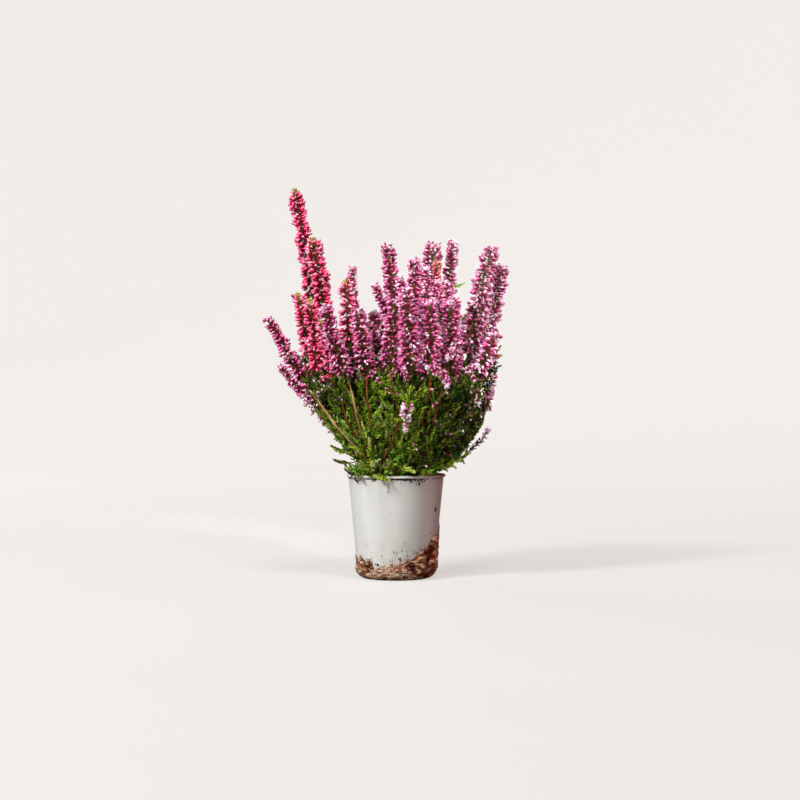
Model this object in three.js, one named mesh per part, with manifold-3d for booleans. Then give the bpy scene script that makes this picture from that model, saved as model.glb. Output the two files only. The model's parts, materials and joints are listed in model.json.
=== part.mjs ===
// A common heather in a 9 cm nursery pot. Millimetres, +Z up.
// Origin: centre of the flat underside, on the pot's axis. +Y points to the back of the plant.
//
// The pot is a thin tapered cup with a rolled rim and drain holes. Roots have grown out of the holes
// and matted round the foot of the pot, so the whole thing stands on the root mat. Woody stems stand
// in plain holes in the compost, fork, and carry leafy side shoots. Each fork ends in a raceme: a
// slim stalk packed with closed, bell-shaped florets, crimson on one plant and mauve on the others.
import * as THREE from "three";
import { mergeVertices } from "three/addons/utils/BufferGeometryUtils.js";
import Module from "manifold-3d";

const wasm = await Module();
wasm.setup();

// ---- driving dimensions --------------------------------------------------------------------------

const fitGap = 0.3; // clearance between pieces that touch
const roundSegments = 26; // of the pot, the mat round it and the compost in it
const slivers = 0.15; // edges shorter than this are closed up where tubes are joined

const pot = {
  rimRadius: 45, // a 9 cm pot is measured over its rim
  height: 94,
  lipHeight: 2.4,
  lipWidth: 1.8,
  wall: 0.8,
  baseRadius: 34.2, // where the wall's line would meet the floor
  neckRadius: 43.2, // wall right under the rim
  cornerRadius: 8,
  cornerSteps: 2,
  drainHoles: 6,
  drainRadius: 4.5,
  drainCircle: 20,
};

const mat = {
  thickness: 1.6, // under the pot and round its corner
  edgeThickness: 0.9, // where it feathers out on the wall
  relief: 0.7, // how far matted roots stand proud of it
  // height of the mat's upper edge round the pot: [degrees from +X towards +Y, mm]
  edge: [
    [0, 46],
    [30, 38],
    [70, 17],
    [120, 22],
    [160, 15],
    [185, 19],
    [215, 20],
    [240, 12],
    [268, 14],
    [290, 19],
    [315, 29],
    [340, 41],
  ],
};

const soil = {
  edgeHeight: 86,
  crownHeight: 89,
  crumb: 0.7, // relief of the compost surface
};

const wood = {
  footDepth: 14, // how deep a stem stands in the compost
  footRadius: 1.7,
  topRadius: 0.9,
  forkRadius: 1.2,
  forkShare: 0.42, // how far up the first fork the second leaves it
  straightEnd: 6, // last length under a raceme, in line with it
  bareShare: 0.4, // lower share of a stem that carries no leaves of its own
  bareStep: 22, // distance between the rings of that share
};

// Scale leaves stand in pairs, each pair turned a quarter from the last.
const leaf = {
  reach: 3.4, // from the axis of a shoot to the tip of a leaf
  lift: 1.9, // how far the tip of a leaf is above its foot
  spacing: 6.8, // between pairs
  shootRadius: 0.8,
  shootLength: 34,
  shootsPerFork: 3,
};

// The bush opens out like a bowl from the rim of the pot: half width and half depth at the rim,
// then how much wider it gets per millimetre of height. It leans a little to the right.
const bush = { halfWidth: 45, halfDepth: 46, widening: 0.6, deepening: 0.42, lean: 5 };

const raceme = {
  core: 2.2,
  spacing: 5.3, // between whorls of florets
  columns: 6, // three florets in a whorl, turned by half a step in the next
};

const goldenAngle = Math.PI * (3 - Math.sqrt(5));

// Where each stem stands in the compost, and what it carries. A fork's raceme runs from base to tip.
// parts: racemes that grow out of another raceme's stalk, each from a height on it.
const stems = [
  {
    name: "crimson_tall",
    foot: [-23, 5],
    forks: [
      { name: "crimson_tall", kind: "crimson", base: [-75, 12, 247], tip: [-93, 12, 353], radius: 8.5 },
      { name: "crimson_low", kind: "crimson", base: [-80, -8, 210], tip: [-89, -6, 257], radius: 7.5 },
    ],
  },
  {
    name: "crimson_front",
    foot: [-15, -5],
    forks: [
      { name: "crimson_front", kind: "crimson", base: [-61, -8, 210], tip: [-75, -8, 307], radius: 8.5 },
      { name: "crimson_inner", kind: "crimson", base: [-72, -22, 195], tip: [-77, -24, 251], radius: 7.2 },
      { name: "crimson_hang", kind: "crimson", base: [-58, -32, 186], tip: [-66, -36, 230], radius: 6.2 },
    ],
  },
  {
    name: "crimson_mid",
    foot: [-8, 2],
    forks: [
      { name: "crimson_mid", kind: "crimson", base: [-42, -14, 219], tip: [-45, -16, 269], radius: 8.4 },
    ],
  },
  {
    name: "mauve_left",
    foot: [-25, -9],
    forks: [
      { name: "mauve_left", kind: "mauve", base: [-89, -6, 190], tip: [-119, -2, 239], radius: 7 },
      { name: "mauve_left_low", kind: "mauve", base: [-79, -18, 163], tip: [-106, -22, 195], radius: 6 },
      { name: "mauve_left_back", kind: "mauve", base: [-77, 26, 168], tip: [-96, 32, 205], radius: 7 },
    ],
  },
  {
    name: "mauve_corner",
    foot: [-17, -19],
    forks: [
      { name: "mauve_corner", kind: "mauve", base: [-49, -44, 191], tip: [-62, -50, 245], radius: 7 },
      { name: "mauve_inner", kind: "mauve", base: [-27, -34, 181], tip: [-34, -38, 239], radius: 8 },
    ],
  },
  {
    name: "mauve_slim",
    foot: [-5, 11],
    forks: [
      { name: "mauve_slim", kind: "mauve", base: [-39, 6, 220], tip: [-40, 6, 286], radius: 5.5 },
      { name: "mauve_notch", kind: "mauve", base: [-26, 40, 184], tip: [-30, 48, 233], radius: 7.5 },
    ],
  },
  {
    name: "mauve_centre",
    foot: [3, 3],
    forks: [
      {
        name: "mauve_centre",
        kind: "mauve",
        base: [1, -4, 211],
        tip: [-8, -4, 304],
        radius: 8.3,
        parts: [
          { from: 0.3, tip: [-20, -7, 264], radius: 5 },
          { from: 0.05, tip: [-22, 3, 238], radius: 5.5 },
        ],
      },
      { name: "mauve_centre_back", kind: "mauve", base: [-4, 34, 216], tip: [-6, 38, 289], radius: 7.5 },
    ],
  },
  {
    name: "mauve_front",
    foot: [-3, -13],
    forks: [
      { name: "mauve_front", kind: "mauve", base: [-4, -30, 197], tip: [0, -32, 250], radius: 9 },
      { name: "mauve_front_right", kind: "mauve", base: [12, -46, 203], tip: [9, -50, 260], radius: 7.5 },
    ],
  },
  {
    name: "mauve_peak",
    foot: [11, -6],
    forks: [
      { name: "mauve_shoulder", kind: "mauve", base: [16, -16, 210], tip: [16, -18, 291], radius: 7 },
      { name: "mauve_peak", kind: "mauve", base: [25, 4, 211], tip: [34, 8, 305], radius: 8.8 },
    ],
  },
  {
    name: "coral_small",
    foot: [14, -17],
    forks: [
      { name: "coral_small", kind: "coral", base: [39, -20, 250], tip: [36, -20, 288], radius: 5 },
    ],
  },
  {
    name: "mauve_apron",
    foot: [21, -21],
    forks: [
      { name: "mauve_apron", kind: "mauve", base: [48, -28, 188], tip: [53, -30, 248], radius: 9.5 },
      { name: "mauve_lap", kind: "mauve", base: [30, -38, 195], tip: [30, -42, 249], radius: 8 },
    ],
  },
  {
    name: "mauve_slender",
    foot: [13, 7],
    forks: [
      { name: "mauve_slender", kind: "mauve", base: [46, 16, 225], tip: [52, 18, 310], radius: 6 },
      { name: "mauve_peak_back", kind: "mauve", base: [24, 40, 216], tip: [26, 46, 289], radius: 7.5 },
    ],
  },
  {
    name: "mauve_right",
    foot: [25, -7],
    forks: [
      { name: "mauve_right", kind: "mauve", base: [67, -4, 211], tip: [87, -4, 302], radius: 8.5 },
      { name: "mauve_right_back", kind: "mauve", base: [86, 14, 229], tip: [97, 14, 286], radius: 6 },
      { name: "mauve_right_low", kind: "mauve", base: [76, -16, 186], tip: [94, -18, 223], radius: 8 },
    ],
  },
  {
    name: "mauve_sparse",
    foot: [28, 5],
    forks: [
      { name: "mauve_sparse", kind: "mauve", base: [81, 4, 152], tip: [89, 4, 191], radius: 4.5 },
      { name: "mauve_twig", kind: "mauve", base: [67, -12, 116], tip: [86, -12, 137], radius: 3.6 },
    ],
  },
  {
    name: "mauve_droop",
    foot: [7, -28],
    forks: [
      { name: "mauve_droop", kind: "mauve", base: [10, -62, 157], tip: [8, -66, 133], radius: 7 },
    ],
  },
  {
    name: "mauve_rear_left",
    foot: [-15, 19],
    forks: [
      { name: "mauve_rear_left", kind: "mauve", base: [-61, 42, 193], tip: [-69, 46, 242], radius: 8 },
      { name: "mauve_rear_left_far", kind: "mauve", base: [-43, 68, 190], tip: [-49, 78, 238], radius: 7.5 },
    ],
  },
  {
    name: "mauve_rear",
    foot: [2, 24],
    forks: [
      { name: "mauve_rear", kind: "mauve", base: [6, 66, 207], tip: [4, 74, 255], radius: 8 },
      { name: "mauve_rear_far", kind: "mauve", base: [-11, 88, 181], tip: [-15, 100, 223], radius: 7.5 },
    ],
  },
  {
    name: "mauve_rear_right",
    foot: [19, 18],
    forks: [
      { name: "mauve_rear_peak", kind: "mauve", base: [69, 34, 207], tip: [78, 38, 261], radius: 7 },
      { name: "mauve_rear_right", kind: "mauve", base: [55, 48, 186], tip: [59, 54, 233], radius: 7.5 },
      { name: "mauve_rear_far_right", kind: "mauve", base: [34, 74, 192], tip: [36, 82, 238], radius: 8 },
      { name: "mauve_rear_side", kind: "mauve", base: [72, 60, 172], tip: [82, 68, 209], radius: 7 },
    ],
  },
];

// ---- materials -----------------------------------------------------------------------------------

function paint(color, roughness) {
  return new THREE.MeshStandardMaterial({ color, roughness, metalness: 0 });
}

const finish = {
  pot: paint(0xe2e2dc, 0.45),
  soil: paint(0x1c140f, 0.95),
  roots: paint(0x7a4a30, 0.9),
  leafyStem: paint(0x4f6b2a, 0.7),
  crimson: paint(0xd23a5c, 0.55),
  coral: paint(0xe0707a, 0.55),
  mauve: paint(0xb54e8a, 0.55),
};

// ---- solids --------------------------------------------------------------------------------------

function toSolid(geometry) {
  const bare = new THREE.BufferGeometry();
  bare.setAttribute("position", geometry.getAttribute("position"));
  bare.setIndex(geometry.index);
  const merged = mergeVertices(bare, 1e-4);
  return new wasm.Manifold(
    new wasm.Mesh({
      numProp: 3,
      vertProperties: new Float32Array(merged.attributes.position.array),
      triVerts: new Uint32Array(merged.index.array),
    }),
  );
}

function toGeometry(solid) {
  const mesh = solid.getMesh();
  const geometry = new THREE.BufferGeometry();
  geometry.setAttribute("position", new THREE.BufferAttribute(mesh.vertProperties, 3));
  geometry.setIndex(new THREE.BufferAttribute(mesh.triVerts, 1));
  return geometry;
}

// The union of the pieces as one body: any hollow closed in between them is filled, and slivers
// where they meet are cleared away.
function joined(geometries) {
  const whole = geometries.map(toSolid).reduce((sum, piece) => sum.add(piece));
  const [body] = whole.decompose().sort((a, b) => b.volume() - a.volume());
  return body.asOriginal().simplify(slivers);
}

function indexed(points, faces) {
  const geometry = new THREE.BufferGeometry();
  geometry.setAttribute("position", new THREE.Float32BufferAttribute(points.flat(), 3));
  geometry.setIndex(faces.flat());
  return geometry;
}

// A body spun round the Z axis whose profile may change with the angle. profileAt(angle) gives
// [radius, height] points from the axis at the bottom, round the outside, to the axis at the top.
function spun(profileAt) {
  const points = [];
  const faces = [];
  const inner = profileAt(0).length - 2;
  for (let j = 0; j < roundSegments; j++) {
    const angle = (2 * Math.PI * j) / roundSegments;
    for (const [r, z] of profileAt(angle).slice(1, -1)) {
      points.push([r * Math.cos(angle), r * Math.sin(angle), z]);
    }
  }
  const bottom = points.push([0, 0, profileAt(0)[0][1]]) - 1;
  const top = points.push([0, 0, profileAt(0).at(-1)[1]]) - 1;
  for (let j = 0; j < roundSegments; j++) {
    const a = j * inner;
    const b = ((j + 1) % roundSegments) * inner;
    faces.push([bottom, b, a], [top, a + inner - 1, b + inner - 1]);
    for (let i = 0; i < inner - 1; i++) {
      faces.push([a + i, b + i, b + i + 1], [a + i, b + i + 1, a + i + 1]);
    }
  }
  return indexed(points, faces);
}

// ---- pot, root mat and compost -------------------------------------------------------------------

const floorHeight = mat.thickness + fitGap; // underside of the pot's floor
const lipBottom = pot.height - pot.lipHeight;
const taper = (pot.neckRadius - pot.baseRadius) / (lipBottom - floorHeight);
const slant = Math.hypot(1, taper);
const cornerHeight = floorHeight + pot.cornerRadius;
const cornerCentre = wallRadius(cornerHeight) - pot.cornerRadius * slant;

function wallRadius(z, offset = 0) {
  return pot.baseRadius + (z - floorHeight) * taper + offset * slant;
}

// The pot's outside moved out by offset: the end of its flat base, its round corner, then the wall
// at each of the given heights.
function cupLine(offset, heights = []) {
  const line = [];
  const radius = pot.cornerRadius + offset;
  for (let i = 0; i <= pot.cornerSteps; i++) {
    const angle = -Math.PI / 2 + (i / pot.cornerSteps) * (Math.PI / 2 - Math.atan(taper));
    line.push([cornerCentre + radius * Math.cos(angle), cornerHeight + radius * Math.sin(angle)]);
  }
  return [...line, ...heights.map((z) => [wallRadius(z, offset), z])];
}

function drainHole(i, radius, from, to) {
  const angle = (2 * Math.PI * (i + 0.5)) / pot.drainHoles;
  const plug = new THREE.CylinderGeometry(radius, radius, to - from, 8);
  plug.rotateX(Math.PI / 2);
  plug.translate(
    pot.drainCircle * Math.cos(angle),
    pot.drainCircle * Math.sin(angle),
    (from + to) / 2,
  );
  return toSolid(plug);
}

function makePot() {
  const lipInner = wallRadius(pot.height, -pot.wall);
  const lipMiddle = pot.height - pot.lipHeight / 2;
  const profile = [
    [0, floorHeight],
    ...cupLine(0, [lipBottom]),
    [pot.rimRadius - pot.lipWidth / 2, lipBottom],
    [pot.rimRadius, lipMiddle],
    [pot.rimRadius - pot.lipWidth / 2, pot.height],
    [lipInner, pot.height],
    ...cupLine(-pot.wall).reverse(),
    [0, floorHeight + pot.wall],
  ];
  const cup = new THREE.LatheGeometry(
    profile.map(([r, z]) => new THREE.Vector2(r, z)),
    roundSegments,
  );
  cup.rotateX(Math.PI / 2);
  let solid = toSolid(cup);
  for (let i = 0; i < pot.drainHoles; i++) {
    solid = solid.subtract(drainHole(i, pot.drainRadius, 0, cornerHeight));
  }
  return solid;
}

// Height of the mat's upper edge at an angle, eased between the listed heights.
function matEdge(angle) {
  const degrees = ((THREE.MathUtils.radToDeg(angle) % 360) + 360) % 360;
  const next = mat.edge.findIndex(([at]) => at > degrees);
  const [endAt, endHeight] = next < 0 ? [360, mat.edge[0][1]] : mat.edge[next];
  const [startAt, startHeight] = mat.edge.at(next < 0 ? -1 : next - 1);
  const ease = THREE.MathUtils.smoothstep(degrees, startAt, endAt);
  const jag = 1.2 * Math.sin(11 * angle) + 0.9 * Math.sin(23 * angle + 1);
  return THREE.MathUtils.lerp(startHeight, endHeight, ease) + jag;
}

function matProfile(angle) {
  const outer = fitGap + mat.thickness;
  const edge = matEdge(angle);
  const line = cupLine(outer);
  for (const share of [0.35, 0.7, 1]) {
    const z = THREE.MathUtils.lerp(cornerHeight - 1, edge, share);
    const thickness = THREE.MathUtils.lerp(mat.thickness, mat.edgeThickness, share);
    const knots = Math.abs(Math.sin(9 * angle + z / 4) * Math.cos(5 * angle - z / 3));
    line.push([wallRadius(z, fitGap + thickness + mat.relief * knots), z]);
  }
  return [
    [0, 0],
    ...line,
    [wallRadius(edge, fitGap), edge],
    ...cupLine(fitGap).reverse(),
    [0, mat.thickness],
  ];
}

function makeRootMat() {
  let solid = toSolid(spun(matProfile));
  for (let i = 0; i < pot.drainHoles; i++) {
    solid = solid.add(drainHole(i, pot.drainRadius - fitGap, mat.thickness / 2, floorHeight + pot.wall));
  }
  return solid;
}

function soilHeight(r, angle) {
  const crown = THREE.MathUtils.lerp(soil.crownHeight, soil.edgeHeight, (r / pot.neckRadius) ** 2);
  const lumps = Math.sin(r * 0.9 + 3 * angle) * Math.cos(5 * angle - r * 0.4);
  return crown + soil.crumb * lumps * Math.min(1, r / 5);
}

function makeSoil() {
  const inset = -pot.wall - fitGap;
  const rim = wallRadius(soil.edgeHeight, inset);
  const solid = toSolid(
    spun((angle) => [
      [0, floorHeight + pot.wall + fitGap],
      ...cupLine(inset, [soil.edgeHeight - 2]),
      ...[0.97, 0.7, 0.4].map((share) => [share * rim, soilHeight(share * rim, angle)]),
      [0, soil.crownHeight],
    ]),
  );
  const holeSides = 6;
  const holeRadius = (wood.footRadius + fitGap) / Math.cos(Math.PI / holeSides);
  return stems.reduce((body, { foot: [x, y] }) => {
    const bottom = footHeight(x, y) - wood.footDepth - fitGap;
    const depth = pot.height - bottom;
    const hole = new THREE.CylinderGeometry(holeRadius, holeRadius, depth, holeSides);
    hole.rotateX(Math.PI / 2);
    hole.translate(x, y, bottom + depth / 2);
    return body.subtract(toSolid(hole));
  }, solid);
}

// Compost height at a stem's foot.
function footHeight(x, y) {
  return soilHeight(Math.hypot(x, y), Math.atan2(y, x));
}

// ---- stems, leaves and racemes -------------------------------------------------------------------

const vec = (xyz) => new THREE.Vector3(...xyz);

// How far along a line each of its points is, from 0 to 1.
function sharesOf(line) {
  const lengths = [0];
  for (let i = 1; i < line.length; i++) lengths.push(lengths[i - 1] + line[i].distanceTo(line[i - 1]));
  return lengths.map((length) => length / lengths.at(-1));
}

// A direction along the line at each point and two across it, carried on without twist.
function framesAlong(line) {
  const frames = [];
  line.forEach((point, i) => {
    const next = line[Math.min(i + 1, line.length - 1)];
    const along = next.clone().sub(line[Math.max(i - 1, 0)]).normalize();
    const across = i === 0 ? new THREE.Vector3(0.91, 0.42, 0) : frames[i - 1].across.clone();
    across.addScaledVector(along, -across.dot(along)).normalize();
    frames.push({ along, across, third: along.clone().cross(across) });
  });
  return frames;
}

// A closed tube round a line of points, with one ring of corners at each. Every other corner of a
// ring is drawn out into a leaf or a floret, and the next ring is turned so that the whorls
// alternate. radiusAt, reachAt and liftAt take the share of the line's length.
function tube(line, { sides, radiusAt, reachAt, liftAt }) {
  const rings = line.length - 1;
  const points = [];
  const faces = [];
  const shares = sharesOf(line);
  const frames = framesAlong(line);
  line.forEach((centre, i) => {
    const share = shares[i];
    for (let j = 0; j < sides; j++) {
      const angle = (2 * Math.PI * j) / sides;
      const { along, across, third } = frames[i];
      const out = across.clone().multiplyScalar(Math.cos(angle));
      out.addScaledVector(third, Math.sin(angle));
      const stud = i > 0 && i < rings && (i + j) % 2 === 0;
      const corner = centre.clone().addScaledVector(out, stud ? reachAt(share) : radiusAt(share));
      if (stud) corner.addScaledVector(along, liftAt(share));
      points.push(corner.toArray());
    }
  });
  const start = points.push(line[0].toArray()) - 1;
  const end = points.push(line[rings].toArray()) - 1;
  for (let j = 0; j < sides; j++) {
    const k = (j + 1) % sides;
    faces.push([start, k, j], [end, rings * sides + j, rings * sides + k]);
    for (let i = 0; i < rings; i++) {
      const [a, b, c, d] = [i * sides + j, i * sides + k, (i + 1) * sides + k, (i + 1) * sides + j];
      // the quad is split between its two low corners, so that each stud is a plain pyramid
      if ((i + j) % 2 === 0) faces.push([a, b, d], [b, c, d]);
      else faces.push([a, b, c], [a, c, d]);
    }
  }
  return indexed(points, faces);
}

// Evenly spaced points along a curve, about as far apart as asked for.
function spaced(curve, spacing) {
  return curve.getSpacedPoints(Math.max(3, Math.round(curve.getLength() / spacing)));
}

// A stem's line from where it starts to the foot of its raceme: it ends in line with the raceme.
// Its points are wide apart on the bare share of it and closer where it carries leaves.
function stemLine(start, startUp, fork) {
  const base = vec(fork.base);
  const along = vec(fork.tip).sub(base).normalize();
  const straight = base.clone().addScaledVector(along, -wood.straightEnd);
  const span = start.distanceTo(straight);
  const bend = new THREE.CubicBezierCurve3(
    start,
    start.clone().addScaledVector(startUp, 0.24 * span),
    straight.clone().addScaledVector(along, -0.4 * span),
    straight,
  );
  const length = bend.getLength();
  const bare = Math.max(2, Math.round((wood.bareShare * length) / wood.bareStep));
  const leafy = Math.max(2, Math.round(((1 - wood.bareShare) * length) / leaf.spacing));
  return [
    ...Array.from({ length: bare }, (_, i) => bend.getPointAt((wood.bareShare * i) / bare)),
    ...Array.from({ length: leafy + 1 }, (_, i) =>
      bend.getPointAt(THREE.MathUtils.lerp(wood.bareShare, 1, i / leafy)),
    ),
    base.addScaledVector(along, -fitGap),
  ];
}

// Number of the point of a line nearest to a share of its length.
function pointAt(line, share) {
  const misses = sharesOf(line).map((at) => Math.abs(at - share));
  return misses.indexOf(Math.min(...misses));
}

// The first fork of a stem rises from its foot in the compost; the others leave the first one.
function stemLines({ foot: [x, y], forks }) {
  const ground = footHeight(x, y);
  const rise = new THREE.Vector3(x, y, ground + 1.5);
  const trunk = stemLine(rise, new THREE.Vector3(0, 0, 1), forks[0]);
  const branches = forks.slice(1).map((fork, i) => {
    const at = pointAt(trunk, wood.forkShare - 0.12 * i);
    const startUp = trunk[at + 1].clone().sub(trunk[at]).normalize();
    return stemLine(trunk[at], startUp, fork);
  });
  return [[new THREE.Vector3(x, y, ground - wood.footDepth), ...trunk], ...branches];
}

function racemeLine(base, tip) {
  return spaced(new THREE.LineCurve3(base, tip), raceme.spacing);
}

for (const stem of stems) {
  stem.lines = stemLines(stem);
  stem.samples = stem.lines.flatMap((line) =>
    new THREE.CatmullRomCurve3(line).getSpacedPoints(4 * line.length),
  );
  for (const fork of stem.forks) {
    fork.line = racemeLine(vec(fork.base), vec(fork.tip));
    fork.parts = (fork.parts ?? []).map((part) => {
      const start = fork.line[Math.round(part.from * (fork.line.length - 1))];
      return { line: racemeLine(start, vec(part.tip)), radius: part.radius };
    });
    fork.samples = [fork, ...fork.parts].flatMap(({ line }) => line);
  }
}

// Shortest distance from a point to a line of samples.
function distanceTo(samples, point) {
  return Math.sqrt(Math.min(...samples.map((s) => s.distanceToSquared(point))));
}

// A leafy shoot may grow inside the bush's outline where it is nearer to its own stem than to any
// other, clear of all racemes, the compost and the pot.
function hasRoom(point, own) {
  const reach = leaf.reach + fitGap;
  const rise = point.z - pot.height;
  const wide = (point.x - bush.lean) / (bush.halfWidth + bush.widening * rise);
  const deep = point.y / (bush.halfDepth + bush.deepening * rise);
  if (rise < reach || Math.hypot(wide, deep) > 1) return false;
  const mine = distanceTo(own.samples, point);
  return stems.every(
    (other) =>
      (other === own || distanceTo(other.samples, point) > mine + 2 * reach) &&
      other.forks.every((fork) => distanceTo(fork.samples, point) > fork.radius + reach),
  );
}

// A side shoot that leaves a stem's line and curves up beside it, more spreading low down on the
// stem. It is drawn in towards the stem, then turned round it, until it has room; null where there
// is none.
function shootLine(line, share, angle, own) {
  const at = pointAt(line, share);
  const up = line[at + 1].clone().sub(line[at]).normalize();
  const rise = leaf.shootLength * THREE.MathUtils.lerp(0.45, 0.8, share);
  const ahead = line[at].clone().addScaledVector(up, rise);
  for (let turn = 0; turn < 5; turn++) {
    const heading = angle + turn * goldenAngle;
    const side = new THREE.Vector3(Math.cos(heading), Math.sin(heading), 0);
    side.addScaledVector(up, -side.dot(up)).normalize();
    for (let spread = leaf.shootLength - 0.4 * rise; spread > leaf.reach; spread *= 0.8) {
      const bend = line[at].clone().lerp(ahead, 0.2).addScaledVector(side, 0.7 * spread);
      const tip = ahead.clone().addScaledVector(side, spread);
      const path = spaced(new THREE.QuadraticBezierCurve3(line[at], bend, tip), leaf.spacing);
      if (path.slice(2).every((point) => hasRoom(point, own))) return path;
    }
  }
  return null;
}

function leafyStem(stem) {
  const pieces = [];
  const outward = Math.atan2(stem.foot[1], stem.foot[0]);
  stem.lines.forEach((line, fork) => {
    const thick = fork === 0 ? wood.footRadius : wood.forkRadius;
    const radiusAt = (share) => THREE.MathUtils.lerp(thick, wood.topRadius, share);
    const leafyFrom = sharesOf(line)[pointAt(line, wood.bareShare)];
    pieces.push(
      tube(line, {
        sides: 4,
        radiusAt,
        reachAt: (share) => (share > leafyFrom ? leaf.reach : radiusAt(share)),
        liftAt: (share) => (share > leafyFrom ? leaf.lift : 0),
      }),
    );
    for (let i = 0; i < leaf.shootsPerFork; i++) {
      const share = THREE.MathUtils.lerp(fork === 0 ? 0.13 : 0.25, 0.65, i / (leaf.shootsPerFork - 1));
      const side = shootLine(line, share, outward + goldenAngle * (i + 2 * fork), stem);
      if (!side) continue;
      pieces.push(
        tube(side, {
          sides: 4,
          radiusAt: (along) => leaf.shootRadius * (1 - 0.4 * along),
          reachAt: (along) => leaf.reach * (1 - 0.35 * along),
          liftAt: () => leaf.lift,
        }),
      );
    }
  });
  return joined(pieces);
}

// Width of a raceme along its length: full for most of it, closing in over the buds at its tip.
function racemeWidth(share) {
  const swell = THREE.MathUtils.smoothstep(share, -0.4, 0.25);
  return swell * (1 - 0.45 * THREE.MathUtils.smoothstep(share, 0.6, 1));
}

function racemeTube({ line, radius }) {
  const slim = Math.min(raceme.core, 0.34 * radius);
  return tube(line, {
    sides: raceme.columns,
    radiusAt: (share) => slim * (1 - 0.35 * share),
    reachAt: (share) => radius * racemeWidth(share),
    liftAt: (share) => THREE.MathUtils.lerp(-0.8, 2.2, share),
  });
}

function makeRaceme(fork) {
  return joined([fork, ...fork.parts].map(racemeTube));
}

// ---- assembly ------------------------------------------------------------------------------------

const heather = new THREE.Group();

function place(name, solid, material) {
  const mesh = new THREE.Mesh(toGeometry(solid), material);
  mesh.name = name;
  heather.add(mesh);
}

place("pot", makePot(), finish.pot);
place("root_mat", makeRootMat(), finish.roots);
place("soil", makeSoil(), finish.soil);
for (const stem of stems) {
  place(`leafy_stem_${stem.name}`, leafyStem(stem), finish.leafyStem);
  for (const fork of stem.forks) {
    place(`raceme_${fork.name}`, makeRaceme(fork), finish[fork.kind]);
  }
}

export default heather;
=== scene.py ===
import json
import math

import bpy
import numpy as np
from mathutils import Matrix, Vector, noise

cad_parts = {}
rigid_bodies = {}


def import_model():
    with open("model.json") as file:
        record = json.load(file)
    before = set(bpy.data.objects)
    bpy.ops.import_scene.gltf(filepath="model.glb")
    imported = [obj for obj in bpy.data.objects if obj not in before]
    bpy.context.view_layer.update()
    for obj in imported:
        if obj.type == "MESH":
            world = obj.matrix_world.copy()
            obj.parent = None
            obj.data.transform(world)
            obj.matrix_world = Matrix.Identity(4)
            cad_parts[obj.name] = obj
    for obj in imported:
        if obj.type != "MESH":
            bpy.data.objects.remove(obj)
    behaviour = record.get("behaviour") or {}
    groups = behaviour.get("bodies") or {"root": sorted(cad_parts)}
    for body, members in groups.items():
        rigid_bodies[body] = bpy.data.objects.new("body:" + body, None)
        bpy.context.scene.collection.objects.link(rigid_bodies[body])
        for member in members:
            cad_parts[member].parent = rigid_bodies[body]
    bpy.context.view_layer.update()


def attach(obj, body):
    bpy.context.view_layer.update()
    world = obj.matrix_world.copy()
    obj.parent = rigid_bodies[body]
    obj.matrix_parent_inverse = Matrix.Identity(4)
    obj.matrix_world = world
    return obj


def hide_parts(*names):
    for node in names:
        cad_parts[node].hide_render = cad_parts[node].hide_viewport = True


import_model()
mm = 0.001
rng = np.random.default_rng(11)
noise.seed_set(7)
goldenAngle = math.pi * (3 - math.sqrt(5))
upwards = np.array([0.0, 0.0, 1.0])

# Shapes are worked out in millimetres, with the centre of the flat underside at zero, and are
# made a mesh in metres at the end.

pot = {
    "rimRadius": 45,
    "height": 94,
    "lipHeight": 2.4,
    "wall": 0.8,
    "baseRadius": 34.2,
    "neckRadius": 43.2,
    "cornerRadius": 8,
    "floorHeight": 1.9,
    "drainHoles": 6,
    "drainRadius": 4.5,
    "drainCircle": 20,
    "steps": 112,
}
compost = {"edgeHeight": 86, "crownHeight": 89, "inset": 1.1, "crumbs": 1000, "grit": 30}
rootMat = {
    "thickness": 1.6,
    "edgeThickness": 0.5,
    "gap": 0.2,
    "steps": 220,
    "rows": 26,
    "strands": 640,
    "shades": 8,
    # height of its upper edge round the pot: (degrees from +X towards +Y, mm)
    "edge": [
        (0, 46), (30, 38), (70, 17), (120, 22), (160, 15), (185, 19),
        (215, 20), (240, 12), (268, 14), (290, 19), (315, 29), (340, 41),
    ],
}
wood = {"footDepth": 14, "footRadius": 1.15, "topRadius": 0.5, "forkRadius": 0.75, "sink": 1.5,
        "forkShare": 0.42, "straightEnd": 6, "topGap": 0.3}
topRoom = 3.6
# how soon lines stray from their plain course, per mm, and how far, in mm
straying = {"stem": (0.045, 1.1), "raceme": (0.05, 2.6), "bareStem": (0.06, 1.4)}
bush = {"halfWidth": 45, "halfDepth": 46, "widening": 0.6, "deepening": 0.42, "lean": 5,
        "leftTrim": 0.2, "trimHeights": (16, 40), "reach": 0.78,
        "frontTrim": 0.34, "frontHeights": (34, 76)}
sideShoot = {"length": 34, "perFork": 3, "reach": 3.4, "fitGap": 0.3}
foliage = {"outerGap": 11.2, "innerGap": 12.5, "lowGap": 9.5, "low": 132, "shell": 0.25,
           "lowest": 98, "rightLowest": 105, "rightTurn": (-2, 10), "highest": 176,
           "backHighest": 202, "backFrom": 4, "tries": 11000, "rightFrom": 36, "rightCrowd": 0.82,
           "outermost": 0.97, "upperFrom": 140, "upperOutermost": 0.84, "overlap": 3.0}
# inside this share of an oval the leaves are larger and fewer
core = {"reach": (72, 62), "share": 0.6, "larger": 0.45}
# painted shade: the leaves are given darker, older colours to the right and under the flowers, where the bush
# shades itself
paintedShade = {"right": (-15, 45), "high": (136, 176), "highShare": 0.6}
twigRule = {"rise": 14, "riseCost": 1.5, "lift": 0.8, "footRadius": 0.5, "endRadius": 0.28}
shoot = {"every": 5.7, "longest": 14, "shortest": 7.5, "leafEvery": 2.2}
leaf = {"length": 3.9, "width": 2.5, "opening": 0.84}


def raceme(name, base, tip, radius, **more):
    return {"name": name, "base": base, "tip": tip, "radius": radius, **more}


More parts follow.
